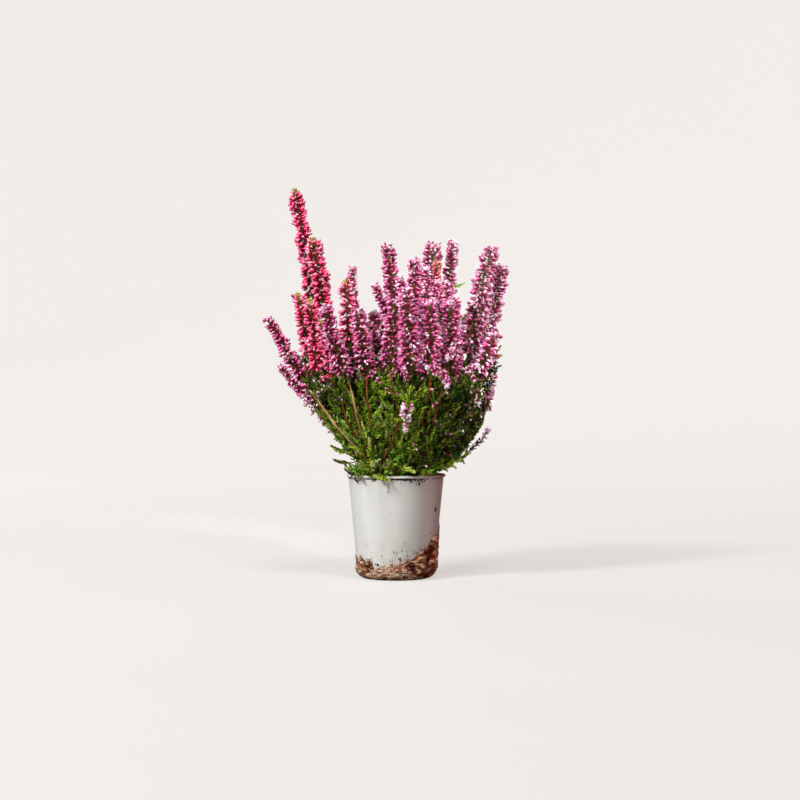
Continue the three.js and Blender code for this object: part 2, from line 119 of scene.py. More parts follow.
# Where each stem stands, and what its forks carry: the raceme's name, which starts with its
# colour, its foot and tip, and how far its buds reach from its stalk. "parts" grow out of that
# raceme's own stalk, and "own" replaces settings of its kind.
stems = [
    {"name": "crimson_tall", "foot": (-23, 5), "forks": [
        raceme("crimson_tall", (-75, 12, 247), (-93, 12, 353), 8.8),
        raceme("crimson_low", (-79, -8, 204), (-89, -6, 257), 8, sparse=1.25),
    ]},
    {"name": "crimson_front", "foot": (-15, -5), "forks": [
        raceme("crimson_front", (-59, -9, 200), (-75, -8, 307), 10),
        raceme("crimson_inner", (-71, -22, 188), (-77, -24, 251), 8),
        raceme("crimson_hang", (-57, -32, 187), (-66, -36, 232), 7.5),
    ]},
    {"name": "crimson_mid", "foot": (-8, 2), "forks": [
        raceme("crimson_mid", (-42, -14, 212), (-45, -16, 269), 9, paler=0.22, sparse=1.2),
    ]},
    {"name": "mauve_left", "foot": (-25, -9), "forks": [
        raceme("mauve_left", (-86, -6, 184), (-119, -2, 239), 7.5),
        raceme("mauve_left_low", (-79, -18, 163), (-106, -22, 195), 6),
        raceme("mauve_left_back", (-77, 26, 168), (-96, 32, 205), 7),
    ]},
    {"name": "mauve_corner", "foot": (-17, -19), "forks": [
        raceme("mauve_corner", (-48, -44, 187), (-62, -50, 247), 9.5),
        raceme("mauve_inner", (-26, -34, 184), (-34, -38, 243), 10),
    ]},
    {"name": "mauve_slim", "foot": (-5, 11), "forks": [
        raceme("mauve_slim", (-39, 6, 220), (-40, 6, 286), 6.4),
        raceme("mauve_notch", (-26, 38, 180), (-29, 46, 236), 9.5),
    ]},
    {"name": "mauve_centre", "foot": (3, 3), "forks": [
        raceme("mauve_centre", (2, -4, 202), (-8, -4, 304), 9.6, parts=[
            {"from": 0.12, "tip": (-20, -7, 265), "radius": 6.6},
            {"from": 0.05, "tip": (-22, 3, 240), "radius": 8.5},
        ]),
        raceme("mauve_centre_back", (-4, 34, 216), (-6, 38, 289), 7.5),
    ]},
    {"name": "mauve_front", "foot": (-3, -13), "forks": [
        raceme("mauve_front", (-5, -30, 190), (0, -32, 252), 11),
        raceme("mauve_front_right", (13, -45, 188), (9, -50, 262), 10),
    ]},
    {"name": "mauve_peak", "foot": (11, -6), "forks": [
        raceme("mauve_shoulder", (16, -16, 206), (16, -18, 291), 8.6, parts=[
            {"from": 0.1, "tip": (4, -22, 270), "radius": 7},
        ]),
        raceme("mauve_peak", (25, 4, 206), (34, 8, 305), 12, parts=[
            {"from": 0.15, "tip": (25, 0, 280), "radius": 7.5},
        ]),
    ]},
    {"name": "coral_small", "foot": (14, -17), "forks": [
        raceme("coral_small", (39, -15, 250), (36, -15, 288), 5.8),
    ]},
    {"name": "mauve_apron", "foot": (21, -21), "forks": [
        raceme("mauve_apron", (47, -28, 186), (50, -30, 252), 12, parts=[
            {"from": 0.3, "tip": (45, -24, 267), "radius": 6.4},
        ]),
        raceme("mauve_lap", (30, -38, 186), (31, -42, 252), 10),
    ]},
    {"name": "mauve_slender", "foot": (13, 7), "forks": [
        raceme("mauve_slender", (46, 16, 212), (52, 18, 310), 8.2, paler=0.1),
        raceme("mauve_peak_back", (24, 40, 216), (26, 46, 289), 7.5),
    ]},
    # the buds on the right are given paler colours: partly their own pale pink, partly painted light that
    # makes up for the light the bush keeps off them
    {"name": "mauve_right", "foot": (25, -7), "forks": [
        raceme("mauve_right", (66, -4, 206), (87, -4, 302), 11.6, paler=0.14),
        raceme("mauve_right_back", (80, 8, 210), (97, 12, 286), 10, paler=0.14),
        raceme("mauve_right_low", (72, -16, 184), (91, -18, 223), 9.4, paler=0.08),
    ]},
    {"name": "mauve_sparse", "foot": (28, 5), "forks": [
        raceme("mauve_sparse", (81, 4, 152), (89, 4, 191), 5.6, paler=0.3, sparse=1.4),
        # the low twig's buds are painted nearly white: partly their own pale colour, partly painted light for
        # the light the bush keeps off them
        raceme("mauve_twig", (67, -12, 116), (86, -12, 137), 4.6,
               paler=1.0, sparse=1.5, own={"first": 0.42}),
    ]},
    {"name": "mauve_droop", "foot": (7, -28), "forks": [
        raceme("mauve_droop", (10, -62, 156), (8, -66, 131), 5.9, paler=0.4,
               own={"taper": 1.1, "loose": 0.1}),
    ]},
    {"name": "mauve_rear_left", "foot": (-15, 19), "forks": [
        raceme("mauve_rear_left", (-61, 42, 193), (-69, 46, 242), 8),
        raceme("mauve_rear_left_far", (-43, 68, 190), (-49, 78, 238), 7.5),
    ]},
    {"name": "mauve_rear", "foot": (2, 24), "forks": [
        raceme("mauve_rear", (6, 66, 207), (4, 74, 255), 8),
        raceme("mauve_rear_far", (-11, 88, 181), (-15, 100, 223), 7.5),
    ]},
    {"name": "mauve_rear_right", "foot": (19, 18), "forks": [
        raceme("mauve_rear_peak", (69, 34, 207), (78, 38, 261), 7),
        raceme("mauve_rear_right", (55, 48, 186), (59, 54, 233), 7.5),
        raceme("mauve_rear_far_right", (34, 74, 192), (36, 82, 238), 8),
        raceme("mauve_rear_side", (72, 60, 172), (82, 68, 209), 7),
    ]},
]


# Lines and directions

def unit(vector):
    return vector / max(np.linalg.norm(vector), 1e-9)


def point(xyz):
    return np.array(xyz, float)


def smooth(value, low, high):
    share = np.clip((value - low) / (high - low), 0, 1)
    return share * share * (3 - 2 * share)


def bezier(ends, count):
    shares = np.linspace(0, 1, count)[:, None]
    weights = [math.comb(len(ends) - 1, k) * shares**k * (1 - shares) ** (len(ends) - 1 - k)
               for k in range(len(ends))]
    return sum(weight * end for weight, end in zip(weights, ends))


def lengthAlong(line):
    steps = np.linalg.norm(np.diff(line, axis=0), axis=1)
    return np.concatenate([[0], np.cumsum(steps)])


def evenly(line, spacing):
    # the same line with a point about every so many millimetres
    along = lengthAlong(line)
    wanted = np.linspace(0, along[-1], max(2, round(along[-1] / spacing)) + 1)
    return np.stack([np.interp(wanted, along, line[:, k]) for k in range(3)], axis=1)


def rod(foot, tip, spacing=2.5):
    return evenly(np.array([point(foot), point(tip)]), spacing)


def repeated(row, count):
    return np.repeat(row[None], count, axis=0)


def anyTurn():
    return rng.uniform(0, 6.3)


def strayed(line, grain, reach):
    # how far a growing line strays from its plain course at each of its points
    return np.array([noise.noise_vector(Vector(spot) * grain) for spot in line]) * reach


def arch(line):
    # 0 at both ends of a line and 1 at its middle
    return np.sin(np.linspace(0, math.pi, len(line)))[:, None]


def headings(line):
    directions = np.gradient(line, axis=0)
    return directions / np.linalg.norm(directions, axis=1)[:, None]


def sideways(direction, angle):
    # a direction square to the given one, turned round it by the angle, or an array of them
    across = np.cross(direction, (0.31, -0.95, 0.05))
    across = across / np.linalg.norm(across, axis=-1, keepdims=True)
    angle = np.asarray(angle)[..., None]
    return across * np.cos(angle) + np.cross(direction, across) * np.sin(angle)


def pointsAt(line, distances):
    along = lengthAlong(line)
    return np.stack([np.interp(distances, along, line[:, k]) for k in range(3)], axis=-1)


# The growing plan

def compostHeight(x, y):
    radius, angle = math.hypot(x, y), math.atan2(y, x)
    crown = compost["crownHeight"] + (compost["edgeHeight"] - compost["crownHeight"]) * (
        radius / pot["neckRadius"]) ** 2
    return crown + 0.5 * math.sin(radius * 0.9 + 3 * angle) * math.cos(5 * angle - radius * 0.4)


def stemLine(start, startUp, fork):
    base, tip = point(fork["base"]), point(fork["tip"])
    along = unit(tip - base)
    straight = base - along * wood["straightEnd"]
    span = np.linalg.norm(straight - start)
    bend = bezier([start, start + startUp * 0.24 * span, straight - along * 0.4 * span, straight], 60)
    return evenly(np.vstack([bend, base - along * wood["topGap"]]), 2.5)


for stem in stems:
    x, y = stem["foot"]
    ground = compostHeight(x, y)
    trunk = stemLine(point((x, y, ground + wood["sink"])), upwards, stem["forks"][0])
    stem["lines"] = [np.vstack([point((x, y, ground - wood["footDepth"])), trunk])]
    for number, fork in enumerate(stem["forks"][1:]):
        at = round((wood["forkShare"] - 0.12 * number) * (len(trunk) - 1))
        stem["lines"].append(stemLine(trunk[at], unit(trunk[at + 1] - trunk[at]), fork))
    for fork in stem["forks"]:
        along = unit(point(fork["tip"]) - point(fork["base"]))
        fork["axis"] = rod(fork["base"], point(fork["tip"]) - along * topRoom)
        fork["stalks"] = [(fork["axis"], fork["radius"])]
        for part in fork.get("parts", []):
            start = fork["axis"][round(part["from"] * (len(fork["axis"]) - 1))]
            fork["stalks"].append((rod(start, part["tip"]), part["radius"]))
    stem["samples"] = np.vstack([line[1:] for line in stem["lines"]])

stalks = [stalk for stem in stems for fork in stem["forks"] for stalk in fork["stalks"]]
stalkPoints = np.vstack([axis for axis, _ in stalks])
stalkReach = np.concatenate([np.full(len(axis), radius) for axis, radius in stalks])


def nearest(points, samples):
    return np.min(np.linalg.norm(points[:, None] - samples[None], axis=2), axis=1)


def bushShares(points):
    # how far out points lie, across and in depth: 1 at the outside of the bush
    rise = points[:, 2] - pot["height"]
    wide = (points[:, 0] - bush["lean"]) / (bush["halfWidth"] + bush["widening"] * rise)
    deep = points[:, 1] / (bush["halfDepth"] + bush["deepening"] * rise)
    return rise, wide, deep


def inBush(points, margin):
    rise, wide, deep = bushShares(points)
    return (rise > margin) & (np.hypot(wide, deep) < 1)


def outwardness(points):
    # the leaves keep further in than the stems at the lower left, and under the flowers in front
    rise, wide, deep = bushShares(points)
    left = 1 + bush["leftTrim"] * (1 - smooth(rise, *bush["trimHeights"]))
    front = 1 + bush["frontTrim"] * smooth(rise, *bush["frontHeights"])
    return np.hypot(np.where(wide < 0, wide * left, wide), np.where(deep < 0, deep * front, deep))


def clearOfRacemes(points, margin):
    gaps = np.linalg.norm(points[:, None] - stalkPoints[None], axis=2) - stalkReach[None]
    return gaps.min(axis=1) > margin


def hasRoom(points, own):
    reach = sideShoot["reach"] + sideShoot["fitGap"]
    if not (inBush(points, reach) & clearOfRacemes(points, reach)).all():
        return False
    mine = nearest(points, own["samples"])
    return all((nearest(points, other["samples"]) > mine + 2 * reach).all()
               for other in stems if other is not own)


def sideLine(line, share, angle, own):
    # a leafy side shoot that curves up beside its stem, turned and drawn in until it has room
    along = lengthAlong(line)
    at = min(int(np.searchsorted(along, share * along[-1])), len(line) - 3)
    up = unit(line[at + 1] - line[at])
    rise = sideShoot["length"] * (0.45 + 0.35 * share)
    ahead = line[at] + up * rise
    for turn in range(5):
        heading = angle + turn * goldenAngle
        side = point((math.cos(heading), math.sin(heading), 0))
        side = unit(side - up * (side @ up))
        spread = sideShoot["length"] - 0.4 * rise
        while spread > sideShoot["reach"]:
            bend = line[at] * 0.8 + ahead * 0.2 + side * 0.7 * spread
            path = evenly(bezier([line[at], bend, ahead + side * spread], 24), 2.5)
            if hasRoom(path[5:], own):
                return path
            spread *= 0.8
    return None


for stem in stems:
    outward = math.atan2(stem["foot"][1], stem["foot"][0])
    stem["sides"] = []
    for number, line in enumerate(stem["lines"]):
        first = 0.13 if number == 0 else 0.25
        for k in range(sideShoot["perFork"]):
            share = first + (0.65 - first) * k / (sideShoot["perFork"] - 1)
            side = sideLine(line, share, outward + goldenAngle * (k + 2 * number), stem)
            if side is not None:
                stem["sides"].append(side)
print("plan", len(stems), "stems", sum(len(stem["sides"]) for stem in stems), "side shoots")


# Modelling helpers

def settle(name, body="root", slot=None, nodes=(), paint=None, angle=35):
    piece = bpy.context.object
    piece.name = piece.data.name = name
    if paint:
        piece.data.materials.clear()
        piece.data.materials.append(paint)
    bpy.ops.object.transform_apply(location=True, rotation=True, scale=True)
    if angle:
        bpy.ops.object.shade_smooth_by_angle(angle=math.radians(angle))
    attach(piece, body)
    if nodes:
        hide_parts(*nodes)
    print("made", name, len(piece.data.polygons))
    return piece


def grown(sides, rings, pointed=False):
    # a round shape pulled up through rings of (height, radius), and closed at its tip
    bpy.ops.object.select_all(action="DESELECT")
    bpy.ops.mesh.primitive_circle_add(vertices=sides, radius=rings[0][1], fill_type="NGON")
    piece = bpy.context.object
    bpy.ops.object.mode_set(mode="EDIT")
    bpy.ops.mesh.select_all(action="SELECT")
    for (lastHeight, lastRadius), (height, radius) in zip(rings, rings[1:]):
        bpy.ops.mesh.extrude_region_move(TRANSFORM_OT_translate={"value": (0, 0, height - lastHeight)})
        scale = radius / lastRadius
        bpy.ops.transform.resize(value=(scale, scale, 1))
    bpy.ops.mesh.merge(type="CENTER")
    if pointed:
        bpy.ops.mesh.select_all(action="DESELECT")
        bpy.ops.object.mode_set(mode="OBJECT")
        for vertex in piece.data.vertices:
            vertex.select = abs(vertex.co.z) < 1e-6
        bpy.ops.object.mode_set(mode="EDIT")
        bpy.ops.mesh.merge(type="CENTER")
    bpy.ops.mesh.select_all(action="SELECT")
    bpy.ops.mesh.normals_make_consistent(inside=False)
    bpy.ops.object.mode_set(mode="OBJECT")
    return piece


def linked(name, data):
    # a new object, and the only one that is selected
    piece = bpy.data.objects.new(name, data)
    bpy.context.scene.collection.objects.link(piece)
    bpy.ops.object.select_all(action="DESELECT")
    piece.select_set(True)
    bpy.context.view_layer.objects.active = piece
    return piece


def takeShape(piece):
    # the points and faces of a modelled piece, which is then put away
    mesh = piece.data
    spots = np.empty(len(mesh.vertices) * 3)
    mesh.vertices.foreach_get("co", spots)
    corners = np.empty(len(mesh.loops), int)
    mesh.loops.foreach_get("vertex_index", corners)
    sizes = np.empty(len(mesh.polygons), int)
    mesh.polygons.foreach_get("loop_total", sizes)
    bpy.data.objects.remove(piece)
    return {"spots": spots.reshape(-1, 3), "corners": corners, "sizes": sizes}


class Heap:
    # many copies of modelled shapes, gathered into one mesh
    def __init__(self):
        self.spots, self.corners, self.sizes, self.tints = [], [], [], {}
        self.total = 0

    def add(self, shape, places, axes, scales, **tints):
        # places are feet, axes the direction each copy grows in and the one its flat side faces
        directions, facing = (np.asarray(axis, float) for axis in axes)
        directions = directions / np.linalg.norm(directions, axis=1)[:, None]
        facing = facing - directions * np.sum(facing * directions, axis=1)[:, None]
        facing = facing / np.maximum(np.linalg.norm(facing, axis=1), 1e-9)[:, None]
        third = np.cross(directions, facing)
        scaled = shape["spots"][None] * np.asarray(scales, float)[:, None, :]
        turned = (scaled[:, :, :1] * third[:, None] + scaled[:, :, 1:2] * facing[:, None]
                  + scaled[:, :, 2:] * directions[:, None])
        copies, count = len(directions), len(shape["spots"])
        self.spots.append((turned + np.asarray(places, float)[:, None]).reshape(-1, 3))
        steps = self.total + np.arange(copies)[:, None] * count
        self.corners.append((shape["corners"][None] + steps).ravel())
        self.sizes.append(np.tile(shape["sizes"], copies))
        self.total += copies * count
        for name, values in tints.items():
            values = np.asarray(values, float)
            if values.ndim == 1 and len(values) == copies:
                values = np.repeat(values, count)
            self.tints.setdefault(name, []).append(np.ravel(values))

    def addTubes(self, lines, sides, **tints):
        shape = takeShape(tubes(lines, sides))
        count = len(shape["spots"])
        self.spots.append(shape["spots"] / mm)
        self.corners.append(shape["corners"] + self.total)
        self.sizes.append(shape["sizes"])
        self.total += count
        for name, value in tints.items():
            self.tints.setdefault(name, []).append(np.full(count, float(value)))

    def build(self, name, **details):
        corners, sizes = np.concatenate(self.corners), np.concatenate(self.sizes)
        mesh = bpy.data.meshes.new(name)
        mesh.vertices.add(self.total)
        mesh.vertices.foreach_set("co", (np.concatenate(self.spots) * mm).ravel())
        mesh.loops.add(len(corners))
        mesh.loops.foreach_set("vertex_index", corners)
        mesh.polygons.add(len(sizes))
        mesh.polygons.foreach_set("loop_start", np.concatenate([[0], np.cumsum(sizes)[:-1]]))
        mesh.polygons.foreach_set("loop_total", sizes)
        mesh.update(calc_edges=True)
        for tint, values in self.tints.items():
            layer = mesh.attributes.new(tint, "FLOAT", "POINT")
            layer.data.foreach_set("value", np.concatenate(values).astype(np.float32))
        linked(name, mesh)
        settle(name, **details)


def tubes(lines, sides):
    # round twigs and strands: each line is (points, radius at its foot, radius at its end)
    curve = bpy.data.curves.new("tubes", "CURVE")
    curve.dimensions = "3D"
    curve.bevel_depth = mm
    curve.bevel_resolution = max(0, (sides - 4) // 2)
    curve.use_fill_caps = True
    for points, footRadius, endRadius in lines:
        spline = curve.splines.new("POLY")
        spline.points.add(len(points) - 1)
        spots = np.concatenate([points * mm, np.ones((len(points), 1))], axis=1)
        spline.points.foreach_set("co", spots.ravel())
        spline.points.foreach_set("radius", np.linspace(footRadius, endRadius, len(points)))
    linked("tubes", curve)
    bpy.ops.object.convert(target="MESH")
    return bpy.context.object


def lathed(profile, steps):
    # a profile from the axis round to the axis, spun into a closed body
    mesh = bpy.data.meshes.new("profile")
    mesh.from_pydata([(r * mm, 0, z * mm) for r, z in profile],
                     [(k, k + 1) for k in range(len(profile) - 1)], [])
    piece = linked("profile", mesh)
    bpy.ops.object.mode_set(mode="EDIT")
    bpy.ops.mesh.select_all(action="SELECT")
    bpy.ops.mesh.spin(steps=steps, angle=2 * math.pi, center=(0, 0, 0), axis=(0, 0, 1))
    bpy.ops.mesh.select_all(action="SELECT")
    bpy.ops.mesh.remove_doubles(threshold=1e-6)
    bpy.ops.mesh.normals_make_consistent(inside=False)
    bpy.ops.object.mode_set(mode="OBJECT")
    return piece


# Shader helpers

def maths(operation, flipped=False):
    def made(self, other):
        values = (other, self) if flipped else (self, other)
        return self.paint.node("ShaderNodeMath", {"operation": operation}, dict(enumerate(values)))
    return made


class Wire:
    # a shader socket that can be used in sums
    def __init__(self, paint, socket):
        self.paint, self.socket = paint, socket

    __add__ = __radd__ = maths("ADD")
    __mul__ = __rmul__ = maths("MULTIPLY")
    __sub__ = maths("SUBTRACT")
    __rsub__ = maths("SUBTRACT", flipped=True)
    __truediv__ = maths("DIVIDE")
    __pow__ = maths("POWER")
    larger = maths("MAXIMUM")

    def between(self, low, high):
        # 0 below low, 1 above high, and smooth from one to the other
        settings = {"interpolation_type": "SMOOTHSTEP"}
        return self.paint.node("ShaderNodeMapRange", settings,
                               {"Value": self, "From Min": low, "From Max": high})


class Paint:
    def __init__(self, name, roughness=0.5, **finish):
        self.material = bpy.data.materials.new(name)
        self.material.use_nodes = True
        self.tree = self.material.node_tree
        self.shader = self.tree.nodes["Principled BSDF"]
        self.give("Roughness", roughness)
        for socket, value in finish.items():
            self.shader.inputs[socket.replace("_", " ")].default_value = value

    def node(self, kind, settings, inputs, output=0):
        made = self.tree.nodes.new(kind)
        for key, value in settings.items():
            if key == "stops":
                while len(made.color_ramp.elements) < len(value):
                    made.color_ramp.elements.new(0.5)
                for element, (place, colour) in zip(made.color_ramp.elements, value):
                    element.position, element.color = place, (*colour, 1)
            else:
                setattr(made, key, value)
        for socket, value in inputs.items():
            self.plug(made.inputs[socket], value)
        return Wire(self, made.outputs[output])

    def plug(self, socket, value):
        if isinstance(value, Wire):
            self.tree.links.new(value.socket, socket)
        elif isinstance(value, tuple) and len(value) == 3 and socket.type == "RGBA":
            socket.default_value = (*value, 1)
        else:
            socket.default_value = value

    def give(self, socket, value):
        self.plug(self.shader.inputs[socket], value)

    def place(self):
        return self.node("ShaderNodeTexCoord", {}, {}, "Object")

    def axis(self, letter):
        return self.node("ShaderNodeSeparateXYZ", {}, {"Vector": self.place()}, letter)

    def tint(self, name):
        return self.node("ShaderNodeAttribute", {"attribute_name": name}, {}, "Fac")

    def grain(self, scale, detail=3, stretch=(1, 1, 1)):
        spread = self.node("ShaderNodeVectorMath", {"operation": "MULTIPLY"},
                           {0: self.place(), 1: stretch})
        return self.node("ShaderNodeTexNoise", {}, {"Vector": spread, "Scale": scale, "Detail": detail})

    def cells(self, scale):
        return self.node("ShaderNodeTexVoronoi", {}, {"Vector": self.place(), "Scale": scale})

    def ramp(self, value, stops):
        return self.node("ShaderNodeValToRGB", {"stops": stops}, {"Fac": value})

    def mix(self, share, low, high, blend="MIX"):
        made = self.tree.nodes.new("ShaderNodeMix")
        made.data_type, made.blend_type = "RGBA", blend
        for socket, value in ((0, share), (6, low), (7, high)):
            self.plug(made.inputs[socket], value)
        return Wire(self, made.outputs[2])

    def bump(self, height, strength, distance):
        self.give("Normal", self.node("ShaderNodeBump", {}, {
            "Height": height, "Strength": strength, "Distance": distance}))


def srgb(red, green, blue):
    # colours are given as they are seen, 0 to 255
    def linear(value):
        value /= 255
        return value / 12.92 if value <= 0.04045 else ((value + 0.055) / 1.055) ** 2.4
    return linear(red), linear(green), linear(blue)


# Finishes

def whitePlastic():
    paint = Paint("whitePlastic", IOR=1.48)
    height = paint.axis("Z")
    streaks = paint.grain(60, 4, (1, 1, 0.12))
    plain = paint.ramp(streaks, [(0.3, srgb(216, 215, 209)), (0.7, srgb(231, 230, 226))])
    # a film of soil water runs up from the root mat and down from the rim
    low = 1 - height.between(0.012, 0.045)
    high = height.between(0.08, 0.0915)
    # the front right masks below carry painted shade and a painted red reflection; the rightward one also
    # makes soil splashes a little more likely there
    front = 1 - paint.axis("Y").between(-0.012, 0.01)
    right = paint.axis("X").between(-0.035, 0.045) * front
    far = paint.axis("X").between(0.028, 0.043) * front
    wet = paint.grain(95, 6).between(0.4, 0.7)
    film = wet * (low * 0.4 + high * 0.3)
    stainShadeAndReflection = paint.mix(film, plain, srgb(160, 124, 112))
    # painted shade and painted reflection: the wall is painted duller and darker towards its front right, as
    # shade, and a dull red at its front right edge, as a reflection of red light
    stainShadeAndReflection = paint.mix(right * 0.6, stainShadeAndReflection, srgb(148, 140, 130))
    stainShadeAndReflection = paint.mix(far * 0.62, stainShadeAndReflection, srgb(104, 38, 38))
    # specks and smears of grime that thin out down the wall, and a thin dark band right under the lip
    patches = paint.grain(34, 4, (1, 1, 0.4))
    fine = paint.grain(420, 4)
    corner = height.between(0.0895, 0.0912) * (1 - height.between(0.0917, 0.092))
    below = height.between(0.0815, 0.091) * (1 - height.between(0.0917, 0.092))
    grime = (fine * 0.5 + patches * 0.5 + corner * 0.12 + below * 0.06).between(0.6, 0.66) * below
    splash = (fine * 0.5 + paint.grain(90, 5) * 0.5 + low * 0.1 + right * 0.04).between(0.65, 0.69) * low
    inside = height.between(0.0925, 0.094) * 0.35 * wet
    soil = paint.ramp(paint.grain(700, 2), [(0.35, srgb(26, 14, 10)), (0.7, srgb(88, 56, 40))])
    dirt = grime.larger(splash).larger(inside)
    paint.give("Base Color", paint.mix(dirt, stainShadeAndReflection, soil))
    paint.give("Roughness", 0.34 + film * 0.25 + dirt * 0.5)
    paint.bump(dirt + paint.grain(9, 2) * 0.35, 0.5, 0.0004)
    return paint.material


def feltedRoots():
    paint = Paint("feltedRoots", 0.9, IOR=1.2)
    weave = paint.grain(210, 6, (0.6, 0.6, 1.6))
    fibres = paint.grain(520, 4, (0.35, 0.35, 1.5))
    patches = paint.grain(60, 4)
    brown = paint.ramp(weave * 0.6 + fibres * 0.4, [
        (0.36, srgb(40, 8, 1)), (0.46, srgb(114, 54, 24)),
        (0.54, srgb(180, 126, 84)), (0.62, srgb(244, 222, 200))])
    soil = paint.ramp(fibres, [(0.4, srgb(34, 6, 1)), (0.7, srgb(112, 50, 24))])
    paint.give("Base Color", paint.mix(patches.between(0.5, 0.62), brown, soil))
    paint.bump(weave + fibres * 0.7, 0.9, 0.0012)
    return paint.material


def rootStrand():
    paint = Paint("rootStrand", 0.8, IOR=1.25)
    chance = paint.tint("chance")
    colour = paint.ramp(chance, [
        (0.0, srgb(60, 16, 4)), (0.35, srgb(140, 76, 40)),
        (0.65, srgb(216, 178, 142)), (1.0, srgb(255, 246, 232))])
    dust = paint.grain(500, 3).between(0.5, 0.62)
    paint.give("Base Color", paint.mix(dust * 0.45, colour, srgb(58, 20, 8)))
    paint.bump(paint.grain(900, 2), 0.4, 0.0003)
    return paint.material


def peat():
    paint = Paint("peat", 0.95)
    chance = paint.tint("chance")
    grain = paint.grain(500, 5)
    dark = paint.ramp(grain, [(0.3, srgb(14, 9, 6)), (0.55, srgb(42, 28, 20)), (0.8, srgb(84, 60, 44))])
    light = paint.ramp(grain, [(0.3, srgb(120, 92, 66)), (0.7, srgb(196, 174, 142))])
    paint.give("Base Color", paint.mix(chance.between(0.9, 0.93), dark, light))
    paint.bump(grain + paint.cells(420) * 0.7, 0.8, 0.0012)
    return paint.material


def bark():
    paint = Paint("bark", 0.7, IOR=1.25)
    tan = paint.tint("tan")
    rings = paint.grain(260, 5, (1, 1, 0.25))
    russet = paint.ramp(rings, [(0.3, srgb(62, 20, 6)), (0.6, srgb(128, 58, 22)), (0.85, srgb(184, 112, 60))])
    grey = paint.ramp(rings, [
        (0.3, srgb(120, 82, 44)), (0.6, srgb(190, 150, 98)), (0.85, srgb(232, 208, 158))])
    paint.give("Base Color", paint.mix(tan.between(0.35, 0.65), russet, grey))
    paint.bump(rings, 0.6, 0.0004)
    return paint.material


def scaleLeaf():
    paint = Paint("scaleLeaf", 0.38, IOR=1.3, Coat_Roughness=0.3)
    chance, young = paint.tint("chance"), paint.tint("young")
    old = paint.ramp(chance, [(0.0, srgb(15, 19, 0)), (0.5, srgb(114, 150, 8)), (1.0, srgb(206, 234, 76))])
    fresh = paint.ramp(chance, [
        (0.0, srgb(142, 186, 40)), (0.6, srgb(210, 236, 102)), (1.0, srgb(252, 254, 192))])
    green = paint.mix(young.between(0.2, 1.0), old, fresh)
    tips = paint.tint("tip").between(0.55, 1.0)
    green = paint.mix(tips * (young.between(0.0, 0.5) * 0.35 + 0.22), green, srgb(202, 220, 120))
    # the growth is bluer in patches, and some leaves are turning brown
    bluer = paint.mix(1.0, green, srgb(186, 255, 200), "MULTIPLY")
    patches = paint.grain(75, 2).between(0.48, 0.6) * (1 - young.between(1.1, 1.4))
    green = paint.mix(patches * 0.65, green, bluer)
    flecks = paint.grain(170, 2).between(0.49, 0.64)
    green = paint.mix(flecks * (chance * 0.5 + 0.26), green, srgb(134, 88, 30))
    paint.give("Roughness", 0.66 - young.between(0.0, 0.6) * 0.28)
    paint.give("Coat Weight", young.between(0.1, 0.9) * 0.8)
    dry = 1 - young.between(-0.6, -0.1)
    paint.give("Base Color", paint.mix(dry * 0.85, green, srgb(126, 70, 42)))
    return paint.material


def budSkin(name, deep, body, glow, tip, paleness):
    end = tuple(0.6 * soft + 0.4 * pale for soft, pale in zip(glow, tip))
    paint = Paint(name, 0.3, IOR=1.45, Coat_Weight=0.25, Coat_Roughness=0.2)
    chance, along, leafy = paint.tint("chance"), paint.tint("tip"), paint.tint("leafy")
    # the tip value holds each bud's share along its length plus the painted highlight on its upper side, so
    # the ramp and the pale share below are lighter on top
    skin = paint.ramp(along * 0.8 + chance * 0.2, [
        (0.02, srgb(84, 50, 24)), (0.18, deep), (0.42, body), (0.74, glow), (1.0, end)])
    pale = (chance + along * 0.2).between(*paleness) * along.between(0.1, 0.6)
    skin = paint.mix(pale, skin, tip)
    veins = paint.grain(700, 2).between(0.35, 0.7)
    clouds = paint.grain(190, 2).between(0.48, 0.66)
    skin = paint.mix(veins * 0.2 + clouds * 0.22, skin, deep)
    green = paint.ramp(chance, [(0.0, srgb(64, 44, 18)), (0.5, srgb(118, 96, 40)), (1.0, srgb(172, 160, 76))])
    fresh = paint.ramp(chance, [(0.0, srgb(132, 148, 54)), (1.0, srgb(204, 204, 112))])
    green = paint.mix(leafy.between(1.2, 1.8), green, fresh)
    paint.give("Base Color", paint.mix(leafy.between(0.3, 0.7), skin, green))
    return paint.material


finishes = {
    "pot": whitePlastic(),
    "roots": feltedRoots(),
    "strand": rootStrand(),
    "peat": peat(),
    "bark": bark(),
    "leaf": scaleLeaf(),
    "crimson": budSkin("crimsonBud", srgb(136, 0, 22), srgb(228, 18, 84), srgb(254, 108, 160),
                       srgb(255, 210, 230), (0.76, 1.08)),
    "coral": budSkin("coralBud", srgb(186, 40, 66), srgb(236, 92, 112), srgb(250, 150, 154),
                     srgb(255, 214, 202), (0.9, 1.15)),
    "mauve": budSkin("mauveBud", srgb(118, 8, 36), srgb(192, 32, 98), srgb(236, 122, 184),
                     srgb(254, 230, 245), (0.68, 1.02)),
}


# Pattern pieces, each modelled once: a unit long, and a unit or half a unit from its own middle

# a bud's rings, and how much paler its upper side is painted, as a highlight
bud = {"rings": [(0, 0.34), (0.3, 1.0), (0.74, 0.84), (1, 0.01)], "paintedTopHighlight": 0.26}


def budPattern():
    # a closed bud: wide low down, its overlapping sepals closed to a blunt tip
    shape = takeShape(grown(4, bud["rings"]))
    spots = shape["spots"]
    # painted highlight: each bud is paler on its upper side, where the light falls
    shape["tip"] = spots[:, 2] + bud["paintedTopHighlight"] * spots[:, 1]
    return shape


